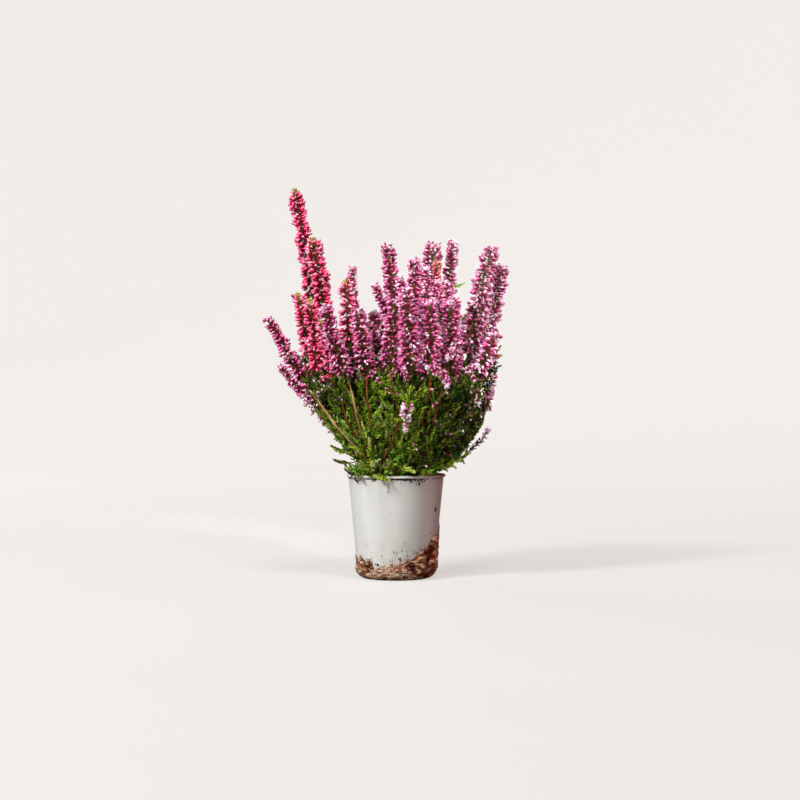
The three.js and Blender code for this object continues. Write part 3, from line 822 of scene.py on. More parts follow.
def leafPattern():
    # a three-sided scale leaf: its keel outwards, its flat side and its bent tip to the stem
    shape = takeShape(grown(3, [(0, 0.05), (0.4, 0.5), (1, 0.01)], pointed=True))
    spots = shape["spots"]
    spots[:, :2] *= -1
    spots[:, 1] = spots[:, 1] * 0.7 + 0.2 * spots[:, 2] ** 2
    shape["tip"] = spots[:, 2].copy()
    return shape


def crumbPattern():
    bpy.ops.mesh.primitive_ico_sphere_add(subdivisions=1, radius=1)
    bpy.ops.object.mode_set(mode="EDIT")
    bpy.ops.mesh.select_all(action="SELECT")
    bpy.ops.transform.vertex_random(offset=0.22, seed=5)
    bpy.ops.object.mode_set(mode="OBJECT")
    return takeShape(bpy.context.object)


budShape, leafShape, crumbShape = budPattern(), leafPattern(), crumbPattern()
print("patterns", [len(shape["sizes"]) for shape in (budShape, leafShape, crumbShape)])


# Leafy stems

def addLeaves(heap, line, every, size=1.0, opening=leaf["opening"], close=0.75, **tints):
    # scale leaves in pairs, each pair turned a quarter, closing up towards the end of the line
    spots = np.repeat(evenly(line, every), 2, axis=0)
    ways = np.repeat(headings(spots[::2]), 2, axis=0)
    count = len(spots)
    share = np.linspace(0, 1, count)
    turns = rng.uniform(0, math.pi) + np.arange(count) // 2 * math.pi / 2 + np.arange(count) % 2 * math.pi
    outs = sideways(ways, turns + rng.normal(0, 0.16, count))
    lean = (opening * (1 - close * share**2) * rng.uniform(0.8, 1.2, count))[:, None]
    lengths = size * leaf["length"] * rng.uniform(0.85, 1.12, count) * (1 - 0.3 * share)
    widths = size * leaf["width"] * np.ones(count)
    given = {name: value[0] + (value[1] - value[0]) * share for name, value in tints.items()}
    given["chance"] = np.clip(given["chance"] + rng.normal(0, 0.14, count), 0, 1)
    heap.add(leafShape, spots + outs * 0.15, (ways * np.cos(lean) + outs * np.sin(lean), -outs),
             np.stack([widths, widths, lengths], axis=1), tip=np.tile(leafShape["tip"], count), **given)


def addSticks(heap, feet, ends, widths, **tints):
    # slender stalks, each as long as the way from its foot to its end
    ways = ends - feet
    lengths = np.linalg.norm(ways, axis=1)
    heap.add(leafShape, feet, (ways, np.roll(ways, 1, axis=1) + 1e-3),
             np.stack([widths, widths, lengths], axis=1), tip=np.zeros(len(feet) * len(leafShape["spots"])),
             **{name: np.full(len(feet), float(value)) for name, value in tints.items()})


def shootLine(foot, way, side, length, opening):
    # a short leafy shoot that leaves its twig at an angle and curves up along it
    out = unit(way * math.cos(opening) + side * math.sin(opening))
    end = foot + length * unit(out + way * rng.uniform(0, 0.7) + upwards * rng.uniform(-0.15, 0.45))
    bend = sideways(out, anyTurn()) * rng.uniform(0, 0.34)
    return bezier([foot, foot + (out * 0.55 + bend) * length, end], 7)


def inFoliage(line):
    tip = line[-2:]
    lowest = foliage["lowest"] + (foliage["rightLowest"] - foliage["lowest"]) * smooth(
        tip[:, 0], *foliage["rightTurn"])
    within = (outwardness(tip) < 1).all() and (tip[:, 2] > lowest).all()
    return bool(within) and bool(clearOfRacemes(tip, -foliage["overlap"]).all())


# small pale buds that stray among the leaves, mostly near the sides of the bush
stray = {"left": -46, "right": 62, "oftenAtSides": 0.1, "often": 0.02, "spread": 1.6,
         "shape": (1.1, 1.1, 4.6)}


def leafyShoot(heap, line, young, shade):
    # leaves are larger and fewer inside the bush, where they only close the gaps
    deep = (np.hypot(*(line[-1, :2] / core["reach"])) < core["share"]) * core["larger"]
    shade = shade + rng.normal(0, 0.14)
    young = young * rng.uniform(0.55, 1.3)
    addLeaves(heap, line, shoot["leafEvery"] * (1 + deep), size=1 + deep, chance=(shade, shade + 0.2),
              young=(min(0.05 * young, young), young))
    atSide = line[-1, 0] < stray["left"] or line[-1, 0] > stray["right"]
    if rng.uniform() < stray["oftenAtSides" if atSide else "often"]:
        strayBuds(line[-2], unit(line[-1] - line[-2]), rng.integers(1, 4))


def strayBuds(place, way, count):
    # small pale buds that spread from one place
    ways = repeated(way, count)
    outs = sideways(ways, anyTurn() + np.arange(count) * goldenAngle)
    spread = np.sqrt((np.arange(count) + rng.uniform(0.2, 0.8, count)) / count)[:, None] * stray["spread"]
    strays.append((repeated(place, count) + outs * 0.5, ways + outs * spread,
                   outs, rng.uniform(0.85, 1.2, count)))


def leafyTwig(heap, line, firstShare, size=1.0, young=None):
    # shoots in opposite pairs along a twig, each pair turned from the last, and one at its end
    free = young is not None
    spots = evenly(line, shoot["every"])
    ways = headings(spots)
    turn = rng.uniform(0, math.pi)
    shade = rng.uniform(0.0, 0.85)
    if not free:
        # painted shade: darker, older leaf colours to the right and under the flowers
        dark = max(smooth(line[-1, 0], *paintedShade["right"]),
                   paintedShade["highShare"] * smooth(line[-1, 2], *paintedShade["high"]))
        young = rng.uniform(0.2, 1.1) * rng.uniform(0.7, 1.0) * (1 - 0.9 * dark)
        shade *= 1 - 0.95 * dark
    for k in range(max(1, round(firstShare * len(spots))), len(spots)):
        share = k / (len(spots) - 1)
        turn += math.pi / 2 + rng.normal(0, 0.3)
        for half in (0, math.pi):
            length = shoot["longest"] + (shoot["shortest"] - shoot["longest"]) * share
            length *= size * rng.uniform(0.75, 1.15)
            side = sideways(ways[k], turn + half)
            line = shootLine(spots[k], ways[k], side, length, rng.uniform(0.65, 1.3))
            if free or inFoliage(line) and not inLane(line[2:]):
                leafyShoot(heap, line, young, shade)
    crown = shootLine(spots[-1], ways[-1], sideways(ways[-1], turn), shoot["longest"] * size, 0.15)
    if free or not inLane(crown):
        leafyShoot(heap, crown, young, shade)


def growthTips():
    # tips of leafy twigs, spread through the whole bush and closer together near its outside
    tips = np.array([side[-1] for stem in stems for side in stem["sides"]])
    reach = bush["halfWidth"] + bush["widening"] * (foliage["highest"] - pot["height"])
    draws = rng.uniform((-reach, -reach, foliage["lowest"]), (reach, reach, foliage["backHighest"]),
                        (foliage["tries"], 3))
    # the growth behind the front flowers is taller, and closes the gaps between them
    tallest = np.where(draws[:, 1] > foliage["backFrom"], foliage["backHighest"], foliage["highest"])
    draws = draws[inBush(draws, 2) & clearOfRacemes(draws, 1.5) & (draws[:, 2] < tallest)]
    added = []
    for draw, outward in zip(draws, outwardness(draws)):
        gap = foliage["outerGap"] if outward > 1 - foliage["shell"] else foliage["innerGap"]
        if draw[2] < foliage["low"]:
            gap = foliage["lowGap"]
        elif draw[0] > foliage["rightFrom"]:
            gap *= foliage["rightCrowd"]
        if outward > foliage["outermost" if draw[2] < foliage["upperFrom"] else "upperOutermost"]:
            continue
        if np.linalg.norm(tips - draw, axis=1).min() > gap:
            tips = np.vstack([tips, draw])
            added.append(draw)
    return added


def twigTo(tip):
    # a twig from the nearest stem below a tip, curving out and up to it; gives its last direction
    best = None
    for stem in stems:
        for line in stem["lines"]:
            below = line[2:-3]
            short = np.maximum(0, twigRule["rise"] - (tip[2] - below[:, 2]))
            cost = np.linalg.norm(below - tip, axis=1) + twigRule["riseCost"] * short
            k = int(np.argmin(cost))
            if best is None or cost[k] < best[0]:
                best = (cost[k], stem, below[k], unit(line[k + 3] - line[k + 2]))
    _, stem, start, way = best
    span = np.linalg.norm(tip - start)
    arrive = unit(unit(tip - start) + upwards * twigRule["lift"])
    line = bezier([start, start + way * 0.3 * span, tip - arrive * 0.35 * span, tip], 14)
    stem["twigs"].append(evenly(line, 3))
    return arrive


# twigs that are seen one by one: the stem each grows from, its foot and tip, and how young it is
ownTwigs = [
    ("mauve_left", (-33, -14, 108), (-46, -28, 117), 0.6),
    ("mauve_corner", (-22, -24, 90), (-35, -27, 98), 0.3),
    ("mauve_corner", (-20, -26, 92), (-33, -35, 98), 0.5),
    ("mauve_droop", (-5, -30, 89), (-20, -42, 98), 0.5),
    ("mauve_droop", (0, -32, 90), (-11, -46, 93), 0.6),
    ("mauve_droop", (1, -32, 92), (-4, -42, 101), 0.7),
    ("mauve_droop", (3, -32, 90), (5, -42, 104), 0.5),
    ("coral_small", (16, -24, 90), (25, -41, 98), 0.4),
    ("mauve_apron", (26, -24, 92), (45, -25, 103), 0.2),
    ("mauve_sparse", (30, 0, 94), (56, -14, 108), 0.2),
]
# single leafy shoots: stem, foot, middle, tip, how much is bare, how young it is, how large its leaves
ownShoots = [
    ("mauve_left", (-33, -13, 107), (-46, -18, 114), (-56, -19, 119), 0.5, -0.4, 1.3),
    ("mauve_left", (-31, -12, 107), (-43, -18, 104), (-54, -19, 107), 0.5, -0.4, 1.4),
    ("mauve_left", (-31, -16, 91), (-37, -20, 96), (-41, -22, 103), 0.2, -0.7, 1.2),
    ("mauve_left", (-32, -17, 90), (-39, -22, 94), (-44, -24, 98), 0.2, -0.7, 1.2),
    ("mauve_left", (-31, -12, 90), (-38, -15, 95), (-44, -17, 101), 0.2, -0.7, 1.2),
    ("mauve_slender", (48.6, 16.5, 262), (54, 14, 264), (61, 12, 267), 0.1, 1.2, 1.1),
    ("mauve_slender", (50, 14, 228), (56, 8, 236), (57, 4, 243), 0.3, 1.6, 1.1),
    ("mauve_slender", (50, 14, 226), (60, 6, 233), (65, 2, 240), 0.3, 1.6, 1.1),
    ("mauve_droop", (0, -34, 93), (5, -43, 102), (14, -47, 99), 0.3, 1.5, 1.5),
]

# little groups of pale buds at the ends of leafy twigs low on the plant: their place and number
bloomlets = [
    ((33, -54, 186), 6), ((44, -52, 179), 7), ((45, -50, 169), 1), ((28, -56, 170), 1),
    ((34, -54, 157), 2), ((68, -34, 180), 4), ((66, -34, 171), 3), ((70, -30, 161), 7),
    ((85, -8, 183), 6), ((84, -6, 165), 7), ((-14, -54, 179), 4), ((-6, -56, 170), 2),
    ((17, -56, 121), 2), ((25, -46, 105), 1), ((-33, -44, 112), 1), ((-21, -43, 101), 2),
    ((-76, -20, 161), 4), ((-73, -18, 151), 4), ((-67, -17, 145), 3), ((-62, -16, 139), 3),
    ((-57, -18, 133), 3), ((-67, -24, 166), 2), ((-80, -22, 172), 4), ((62, 40, 160), 5),
    ((20, 66, 165), 6), ((-30, 60, 150), 4), ((-60, 30, 150), 5), ((76, 20, 150), 4),
    ((0, 58, 135), 3), ((40, 50, 130), 3),
]

# small flower heads that hang out of the bush: foot, tip, how far their buds reach, how pale
smallHeads = [
    ((39, -50, 187), (27, -55, 190), 3.8, 0.2), ((40, -50, 187), (45, -57, 173), 4.6, 0.3),
    ((61, -34, 187), (73, -38, 192), 4.2, 0.3), ((54, -42, 207), (45, -48, 198), 4.6, 0.3),
    ((78, -8, 160), (87, -9, 172), 3.8, 0.3), ((-70, -18, 154), (-82, -22, 158), 3.4, 0.35),
    ((33, -24, 246), (38, -26, 268), 5.6, 0.1), ((27, -20, 250), (28, -22, 279), 5.4, 0.1),
    ((-17, 16, 206), (-19, 20, 236), 6.4, 0.0),
]

# stems that show at the front of the bush, bare on their near side: the stem each one leaves, its
# foot, middle and end, the height from which it shows, and how tan its bark is
bareStems = [
    ("mauve_left", (-20, -20, 103), (-45, -36, 127), (-77, -30, 171), 110, 0.75),
    ("crimson_front", (-20, -18, 102), (-34, -40, 142), (-43, -40, 186), 118, 0.9),
    ("mauve_corner", (-21, -26, 104), (-39, -44, 134), (-48, -46, 160), 128, 0.1),
    ("mauve_corner", (-16, -26, 104), (-23, -45, 145), (-27, -41, 182), 142, 0.4),
    ("mauve_front", (-13, -28, 102), (-7, -45, 119), (4, -54, 141), 106, 0.15),
    ("mauve_front", (-3, -22, 98), (2, -50, 152), (-6, -46, 190), 157, 0.2),
    ("mauve_apron", (20, -26, 100), (34, -46, 144), (46, -42, 188), 142, 0.4),
    ("mauve_apron", (16, -28, 100), (26, -48, 150), (31, -46, 182), 152, 0.05),
]
lane = {"width": 2.3, "depth": 14}


def inLane(line):
    # whether a shoot would hide one of the bare stems from the front
    for path in lanes:
        apart = np.linalg.norm(line[:, None, ::2] - path[None, :, ::2], axis=2)
        near = apart.argmin(axis=1)
        ahead = path[near, 1] - line[:, 1]
        if ((apart.min(axis=1) < lane["width"]) & (ahead > -1.0) & (ahead < lane["depth"])).any():
            return True
    return False


def twigLine(foot, middle, tip):
    foot, middle, tip = point(foot), point(middle), point(tip)
    return evenly(bezier([foot, middle * 1.5 - (foot + tip) * 0.25, tip], 24), 3)


def boughs(stem, leaves):
    # the stem's own lines, leafy above; gives each with its radii
    made = []
    for number, line in enumerate(stem["lines"]):
        thick = wood["footRadius"] if number == 0 else wood["forkRadius"]
        bent = line + strayed(line, *straying["stem"]) * arch(line)
        made.append((bent, thick, wood["topRadius"]))
        top = bent[int(0.45 * len(bent)):]
        leafyTwig(leaves, top, 0.0, 0.85)
        addLeaves(leaves, top, 2.2, opening=0.85, close=0.2, chance=(0.3, 0.4), young=(0, 0.1))
    return made


def sprays(stem, leaves):
    # its leafy twigs and single shoots; gives each with its radii
    made = []
    own = [(twigLine(foot, (point(foot) + point(tip)) / 2 + upwards * 3, tip), young)
           for owner, foot, tip, young in ownTwigs if owner == stem["name"]]
    sides = [side[outwardness(side) < bush["reach"]] for side in stem["sides"]]
    sides = [side for side in sides if len(side) > 4]
    for twig, young in [(twig, None) for twig in sides + stem["twigs"]] + own:
        made.append((twig, twigRule["footRadius"], twigRule["endRadius"]))
        leafyTwig(leaves, twig, 0.25, size=1.0 if young is None else 0.85, young=young)
        addLeaves(leaves, twig[len(twig) // 3:], 2.2, opening=0.8, close=0.3,
                  chance=(0.3, 0.4), young=(0, 0.4))
    for owner, foot, middle, tip, bareShare, young, size in ownShoots:
        if owner == stem["name"]:
            path = twigLine(foot, middle, tip)
            made.append((path, twigRule["footRadius"], 0.3))
            addLeaves(leaves, path[round(bareShare * len(path)):], shoot["leafEvery"] * 0.8,
                      size=size, opening=leaf["opening"] if young > 0 else 0.48,
                      chance=(0.3, 0.6) if young > 0 else (0.1, 0.25), young=(0.4 * young, young))
    return made


def makeStem(stem, tan):
    leaves, wooden = Heap(), Heap()
    name = stem["name"]
    wooden.addTubes(boughs(stem, leaves), 6, tan=tan)
    wooden.addTubes(sprays(stem, leaves), 4, tan=tan)
    for owner, path, shade in barePaths:
        if owner == name:
            wooden.addTubes([(path, 0.95 + 0.5 * shade, 0.6 + 0.25 * shade)], 6, tan=shade)
    shown = {"slot": "leafy_stem", "nodes": ["leafy_stem_" + name]}
    wooden.build("twigs_" + name, paint=finishes["bark"], **shown)
    leaves.build("leaves_" + name, paint=finishes["leaf"], angle=50, **shown)


# Racemes

def racemeWidth(share, taper):
    # widest low down, tapering to a blunt tip
    dome = np.sqrt(np.clip(1 - (np.maximum(share - 0.88, 0) / 0.13) ** 2, 0.1, 1))
    return smooth(share, -0.22, 0.1) * (1 + taper * (0.42 - share)) * dome


budKinds = {
    # mm2 of the raceme's side that a bud takes, its length and half width, how far the buds keep
    # to four ranks, how far up the stalk one whorl is from the next, how much the raceme narrows
    # upwards, the lowest buds' angle above level and how loosely they stand, and whether leaves
    # close its top and how large those are
    "crimson": {"room": 12.0, "length": 6.4, "width": 1.56, "ranked": 0.92, "whorl": 4.6, "taper": 0.18,
                "lean": -14, "loose": 1.0, "leafyTop": True, "tuft": 1.6},
    "coral": {"room": 11, "length": 4.8, "width": 1.15, "ranked": 0.7, "whorl": 4.6, "taper": 0.2,
              "lean": -8, "loose": 0.5, "leafyTop": True, "tuft": 0.85},
    "mauve": {"room": 10.2, "length": 5.9, "width": 1.36, "ranked": 0.86, "whorl": 4.7, "taper": 0.46,
              "lean": -8, "loose": 1.0, "leafyTop": False},
}
# the buds' angle above level at the tip, how much it varies, and how far the ranks lean to the sides
budLean = {"tip": 32, "spread": 10, "lowSpread": 26, "flat": 0.36}
# how much wider and narrower the raceme is by turns, and over what length, mm
bulges = {"share": 0.1, "shortest": 11, "longest": 19}


def budPlaces(kind, radius, length, sparse):
    # how far up its stalk each bud is, and how far round it
    fine = np.linspace(0, 1, 200)
    widths = racemeWidth(fine, kind["taper"])
    widths = widths * (fine >= kind.get("first", 0))
    crowd = np.cumsum(widths * (1 + 2.0 * smooth(fine, 0.78, 1)))
    count = int(2 * math.pi * 0.8 * radius * widths.mean() * length / kind["room"] / sparse)
    shares = np.interp((np.arange(count) + 0.5) / count, crowd / crowd[-1], fine)
    turns = np.arange(count) * goldenAngle + anyTurn()
    turns = turns + kind["ranked"] / 4 * np.sin(4 * turns) + rng.normal(0, 0.12, count)
    turns = turns - budLean["flat"] * np.sin(2 * turns)
    turns = turns + rng.normal(-0.31, 0.12)
    wave = 2 * math.pi / kind["whorl"]
    heights = shares * length
    heights = heights + 0.8 / wave * np.sin(wave * heights + 2 * np.round(turns / (math.pi / 2)))
    return np.clip(heights + rng.normal(0, 0.3, count), 0.2, length - 0.8), turns


def budLifts(kind, shares):
    # how steeply each bud stands, in radians above level
    lift = kind["lean"] + (budLean["tip"] - kind["lean"]) * shares**2
    low = kind["loose"] * (1 - smooth(shares, 0.15, 0.6))
    spread = budLean["spread"] + (budLean["lowSpread"] - budLean["spread"]) * low
    return np.radians(lift + rng.normal(0, 1, len(shares)) * spread)


def addBuds(heap, feet, axes, sizes, chance):
    heap.add(budShape, feet, axes, sizes, chance=chance,
             tip=np.tile(budShape["tip"], len(feet)), leafy=np.zeros(len(feet)))


def budStalk(heap, axis, radius, kind, paler=0.0, sparse=1.0):
    # a stalk with its buds on short stalks of their own, all round it
    length = lengthAlong(axis)[-1]
    heights, turns = budPlaces(kind, radius, length, sparse)
    shares, count = heights / length, len(heights)
    ways = repeated(unit(axis[-1] - axis[0]), count)
    outs = sideways(ways, turns)
    lift = budLifts(kind, shares)
    directions = outs * np.cos(lift)[:, None] + ways * np.sin(lift)[:, None]
    reach = radius * racemeWidth(shares, kind["taper"]) * rng.triangular(0.52, 0.98, 1.08, count)
    period = rng.uniform(bulges["shortest"], bulges["longest"])
    reach = reach * (1 + bulges["share"] * np.sin(2 * math.pi * heights / period + anyTurn()
                                                  + 1.5 * np.cos(turns)))
    reach = np.maximum(reach / np.maximum(np.cos(lift), 0.62), 2.6)
    bodies = kind["length"] * rng.uniform(0.85, 1.12, count) * (1 - 0.4 * smooth(shares, 0.75, 1.0))
    bodies = np.minimum(bodies, reach - 0.5)
    feet = pointsAt(axis, heights) + directions * (reach - bodies)[:, None]
    wide = kind["width"] * rng.uniform(0.88, 1.1, count) * (bodies / kind["length"]) ** 0.5
    chances = rng.uniform(0, 0.84, count) + 0.16 * smooth(shares, 0.75, 1.0) + paler
    addBuds(heap, feet, (directions, ways), np.stack([wide, wide, bodies], axis=1), chances)
    addSticks(heap, pointsAt(axis, heights - 0.4), feet + directions * 0.3, np.full(count, 0.5),
              chance=0.6, leafy=1)


def topTuft(heap, axis, kind):
    # buds, and on some kinds leaves, that close the top of a raceme
    way = unit(axis[-1] - axis[0])
    end = axis[-1]
    if kind["leafyTop"]:
        crown = np.array([end - way * 5, end + way * 1.6])
        addLeaves(heap, crown, 0.7, size=kind["tuft"], opening=1.2, close=0.4,
                  chance=(0.5, 1.0), leafy=(2, 2))
    count = 4 if kind["leafyTop"] else 13
    outs = sideways(repeated(way, count), np.arange(count) * goldenAngle)
    leans = np.linspace(0.15, 1.2, count)[:, None]
    wide = np.full(count, 0.78)
    sizes = np.stack([wide, wide, np.linspace(5.0, 3.0, count)], axis=1)
    addBuds(heap, repeated(end - way * 2.6, count),
            (way * np.cos(leans) + outs * np.sin(leans), outs), sizes, rng.uniform(0.75, 1.0, count))


def flare(heap, foot, way, out, length, radius, kind):
    # a side twig of the raceme, bent up, with a little cluster at its end
    ahead = unit(out + way * 0.55)
    line = bezier([foot, foot + ahead * length * 0.55, foot + length * unit(ahead + way * 0.35)], 8)
    addSticks(heap, line[:1], line[-1:], np.array([0.6]), chance=0.4, leafy=1)
    budStalk(heap, evenly(line[2:], 1.5), radius, kind, paler=0.08)
    addLeaves(heap, line[1:], 1.8, size=0.9, opening=0.9, chance=(0.3, 0.5), leafy=(1, 1.4))


flares = {"every": 12.5, "highest": 0.5, "length": 1.35, "radius": 4.0, "leastRadius": 7}
skirt = {"count": 2, "first": 4, "every": 7, "length": 11, "radius": 3.8, "leastRadius": 6}


def addFlares(heap, axis, radius, kind):
    # side twigs out of the lower part of a broad raceme
    way, turn = unit(axis[-1] - axis[0]), anyTurn()
    for height in np.arange(2, lengthAlong(axis)[-1] * flares["highest"], flares["every"]):
        turn += goldenAngle
        flare(heap, pointsAt(axis, height), way, sideways(way, turn),
              flares["length"] * radius * rng.uniform(0.9, 1.15), flares["radius"], kind)


def addSkirt(heap, line, kind):
    # side twigs out of the stem, under its raceme
    above, turn = lengthAlong(line)[-1], anyTurn()
    for k in range(skirt["count"]):
        turn += goldenAngle
        height = above - skirt["first"] - skirt["every"] * k * rng.uniform(0.85, 1.15)
        foot, onward = pointsAt(line, height), pointsAt(line, height + 1)
        way = unit(onward - foot)
        flare(heap, foot, way, sideways(way, turn), skirt["length"] * rng.uniform(0.8, 1.2),
              skirt["radius"] * (1 - 0.1 * k), kind)


def makeRaceme(fork, line):
    colour = fork["name"].split("_")[0]
    kind = dict(budKinds[colour], **fork.get("own", {}))
    heap = Heap()
    for course, radius in fork["stalks"]:
        axis = course + strayed(course, *straying["raceme"]) * arch(course)
        budStalk(heap, axis, radius, kind, fork.get("paler", 0.0), fork.get("sparse", 1.0))
        addLeaves(heap, axis[:-1], 2.2, size=1.1, opening=0.95, close=0.2,
                  chance=(0.3, 0.6), leafy=(1, 1))
        topTuft(heap, axis, kind)
        heap.addTubes([(axis, 0.75, 0.4)], 6, chance=0.3, tip=0, leafy=1)
        if colour == "mauve" and radius >= flares["leastRadius"]:
            addFlares(heap, axis, radius, kind)
    upright = fork["tip"][2] > fork["base"][2]
    if colour != "coral" and fork["radius"] >= skirt["leastRadius"] and upright:
        addSkirt(heap, line, kind)
    heap.build("buds_" + fork["name"], slot="floret_" + colour, nodes=["raceme_" + fork["name"]],
               paint=finishes[colour], angle=100)


def makeStrays():
    # the stray buds and the small flower heads
    heap = Heap()
    for feet, directions, outs, sizes in strays:
        addBuds(heap, feet, (directions, outs), sizes[:, None] * stray["shape"],
                rng.uniform(0.5, 0.95, len(feet)))
    for foot, tip, radius, paler in smallHeads:
        axis = rod(foot, tip, 2)
        budStalk(heap, axis, radius, budKinds["mauve"], paler)
        topTuft(heap, axis, budKinds["mauve"])
    heap.build("strayBuds", slot="floret_mauve", paint=finishes["mauve"], angle=100)


strays, barePaths, lanes = [], [], []
for owner, first, middle, last, shownFrom, shade in bareStems:
    path = twigLine(first, middle, last)
    path = path + strayed(path, *straying["bareStem"])
    barePaths.append((owner, path, shade))
    lanes.append(path[path[:, 2] > shownFrom])
lanes.extend(rod(foot, tip, 3) for foot, tip, _, _ in smallHeads)
for stem in stems:
    stem["twigs"] = []
for place, count in bloomlets:
    tip = point(place)
    outward = unit(tip * (1, 1, 0))
    arrive = twigTo(tip - outward * 2)
    strayBuds(tip, unit(outward + arrive * 0.3 - upwards * 0.2), count)
for tip in growthTips():
    twigTo(tip)
print("twigs", sum(len(stem["twigs"]) for stem in stems))


# Pot, compost and root mat

taper = (pot["neckRadius"] - pot["baseRadius"]) / (pot["height"] - pot["lipHeight"] - pot["floorHeight"])
slant = math.hypot(1, taper)
cornerHeight = pot["floorHeight"] + pot["cornerRadius"]


def wallRadius(z, offset=0):
    return pot["baseRadius"] + (z - pot["floorHeight"]) * taper + offset * slant


def cupLine(offset, steps, heights=()):
    centre = wallRadius(cornerHeight) - pot["cornerRadius"] * slant
    radius = pot["cornerRadius"] + offset
    line = []
    for k in range(steps + 1):
        angle = -math.pi / 2 + (k / steps) * (math.pi / 2 - math.atan(taper))
        line.append((centre + radius * math.cos(angle), cornerHeight + radius * math.sin(angle)))
    return line + [(wallRadius(z, offset), z) for z in heights]


def makePot():
    lipBottom = pot["height"] - pot["lipHeight"]
    middle = (lipBottom + pot["height"]) / 2
    lipCentre = pot["rimRadius"] - pot["lipHeight"] / 2
    bulge = [(lipCentre + pot["lipHeight"] / 2 * math.cos(a), middle + pot["lipHeight"] / 2 * math.sin(a))
             for a in np.linspace(-math.pi / 2, math.pi / 2, 9)]
    inner = wallRadius(pot["height"], -pot["wall"])
    profile = [
        (0, pot["floorHeight"]), (8, pot["floorHeight"]), (16, pot["floorHeight"]),
        *cupLine(0, 7, [16, 30, 45, 60, 75, 86, lipBottom - 0.4, lipBottom]),
        *bulge,
        (inner + 0.35, pot["height"]), (inner, pot["height"] - 0.3),
        *reversed(cupLine(-pot["wall"], 6, [30, 60, 85])),
        (0, pot["floorHeight"] + pot["wall"]),
    ]
    shell = lathed(profile, pot["steps"])
    bpy.ops.object.select_all(action="DESELECT")
    for k in range(pot["drainHoles"]):
        angle = 2 * math.pi * (k + 0.5) / pot["drainHoles"]
        middleOfHole = [pot["drainCircle"] * math.cos(angle) * mm, pot["drainCircle"] * math.sin(angle) * mm]
        bpy.ops.mesh.primitive_cylinder_add(
            vertices=32, radius=pot["drainRadius"] * mm, depth=0.012, location=(*middleOfHole, 0))
        cutter = bpy.context.object
        bpy.context.view_layer.objects.active = shell
        hole = shell.modifiers.new("hole", "BOOLEAN")
        hole.operation, hole.object, hole.solver = "DIFFERENCE", cutter, "EXACT"
        bpy.ops.object.modifier_apply(modifier=hole.name)
        bpy.data.objects.remove(cutter)
    shell.select_set(True)
    settle("potShell", slot="pot_plastic", nodes=["pot"], paint=finishes["pot"], angle=40)


def makeCompost():
    rim = wallRadius(compost["edgeHeight"], -compost["inset"])
    rings = [(rim * share, compost["edgeHeight"]) for share in np.linspace(0.995, 0.02, 34)]
    profile = [
        (0, pot["floorHeight"] + compost["inset"]),
        *cupLine(-compost["inset"], 4, [30, 60, compost["edgeHeight"] - 3]),
        *rings,
        (0, compost["crownHeight"]),
    ]
    bed = lathed(profile, 120)
    for vertex in bed.data.vertices:
        x, y, z = (value / mm for value in vertex.co)
        if z > compost["edgeHeight"] - 1:
            lumps = noise.fractal(Vector((x, y, 3)) * 0.16, 0.7, 2.1, 5)
            edge = smooth(math.hypot(x, y), rim, rim - 5)
            vertex.co.z = (compostHeight(x, y) + 1.6 * lumps * edge - 0.3) * mm
    bed.data.attributes.new("chance", "FLOAT", "POINT").data.foreach_set(
        "value", np.full(len(bed.data.vertices), 0.2, np.float32))
    settle("compostBed", slot="compost", nodes=["soil"], paint=finishes["peat"], angle=60)


def scattered(count, radius):
    turns = rng.uniform(0, 2 * math.pi, count)
    reach = radius * np.sqrt(rng.uniform(0, 1, count))
    return reach * np.cos(turns), reach * np.sin(turns)


def makeCrumbs():
    # crumbs and fibres of peat and pale grit, lying on the compost
    heap = Heap()
    rim = wallRadius(compost["edgeHeight"], -compost["inset"]) - 0.8
    count = compost["crumbs"]
    xs, ys = scattered(count, rim)
    sizes = rng.gamma(2.2, 0.34, count)[:, None] * rng.uniform(0.6, 1.2, (count, 3)) + 0.12
    sizes = np.minimum(sizes, 1.9)
    zs = np.array([compostHeight(x, y) for x, y in zip(xs, ys)]) + 0.35 * sizes[:, 2]
    chance = rng.uniform(0, 0.88, count)
    chance[: compost["grit"]] = 0.95
    ways = rng.normal(0, 1, (2, count, 3))
    heap.add(crumbShape, np.stack([xs, ys, zs], axis=1), ways, sizes, chance=chance)
    heap.build("peatCrumbs", slot="compost", paint=finishes["peat"], angle=None)


def matEdge(angle):
    degrees = math.degrees(angle) % 360
    stops = rootMat["edge"] + [(360, rootMat["edge"][0][1])]
    for (startAt, start), (endAt, end) in zip(stops, stops[1:]):
        if startAt <= degrees <= endAt:
            return start + (end - start) * smooth(degrees, startAt, endAt)
    return stops[0][1]


def raggedEdge(angle):
    around = Vector((math.cos(angle), math.sin(angle), 0))
    coarse = noise.noise(around * 4.1 + Vector((0, 0, 7)))
    fine = noise.noise(around * 17) + 0.6 * noise.noise(around * 41)
    return matEdge(angle) + 5.0 * coarse + 3.0 * fine


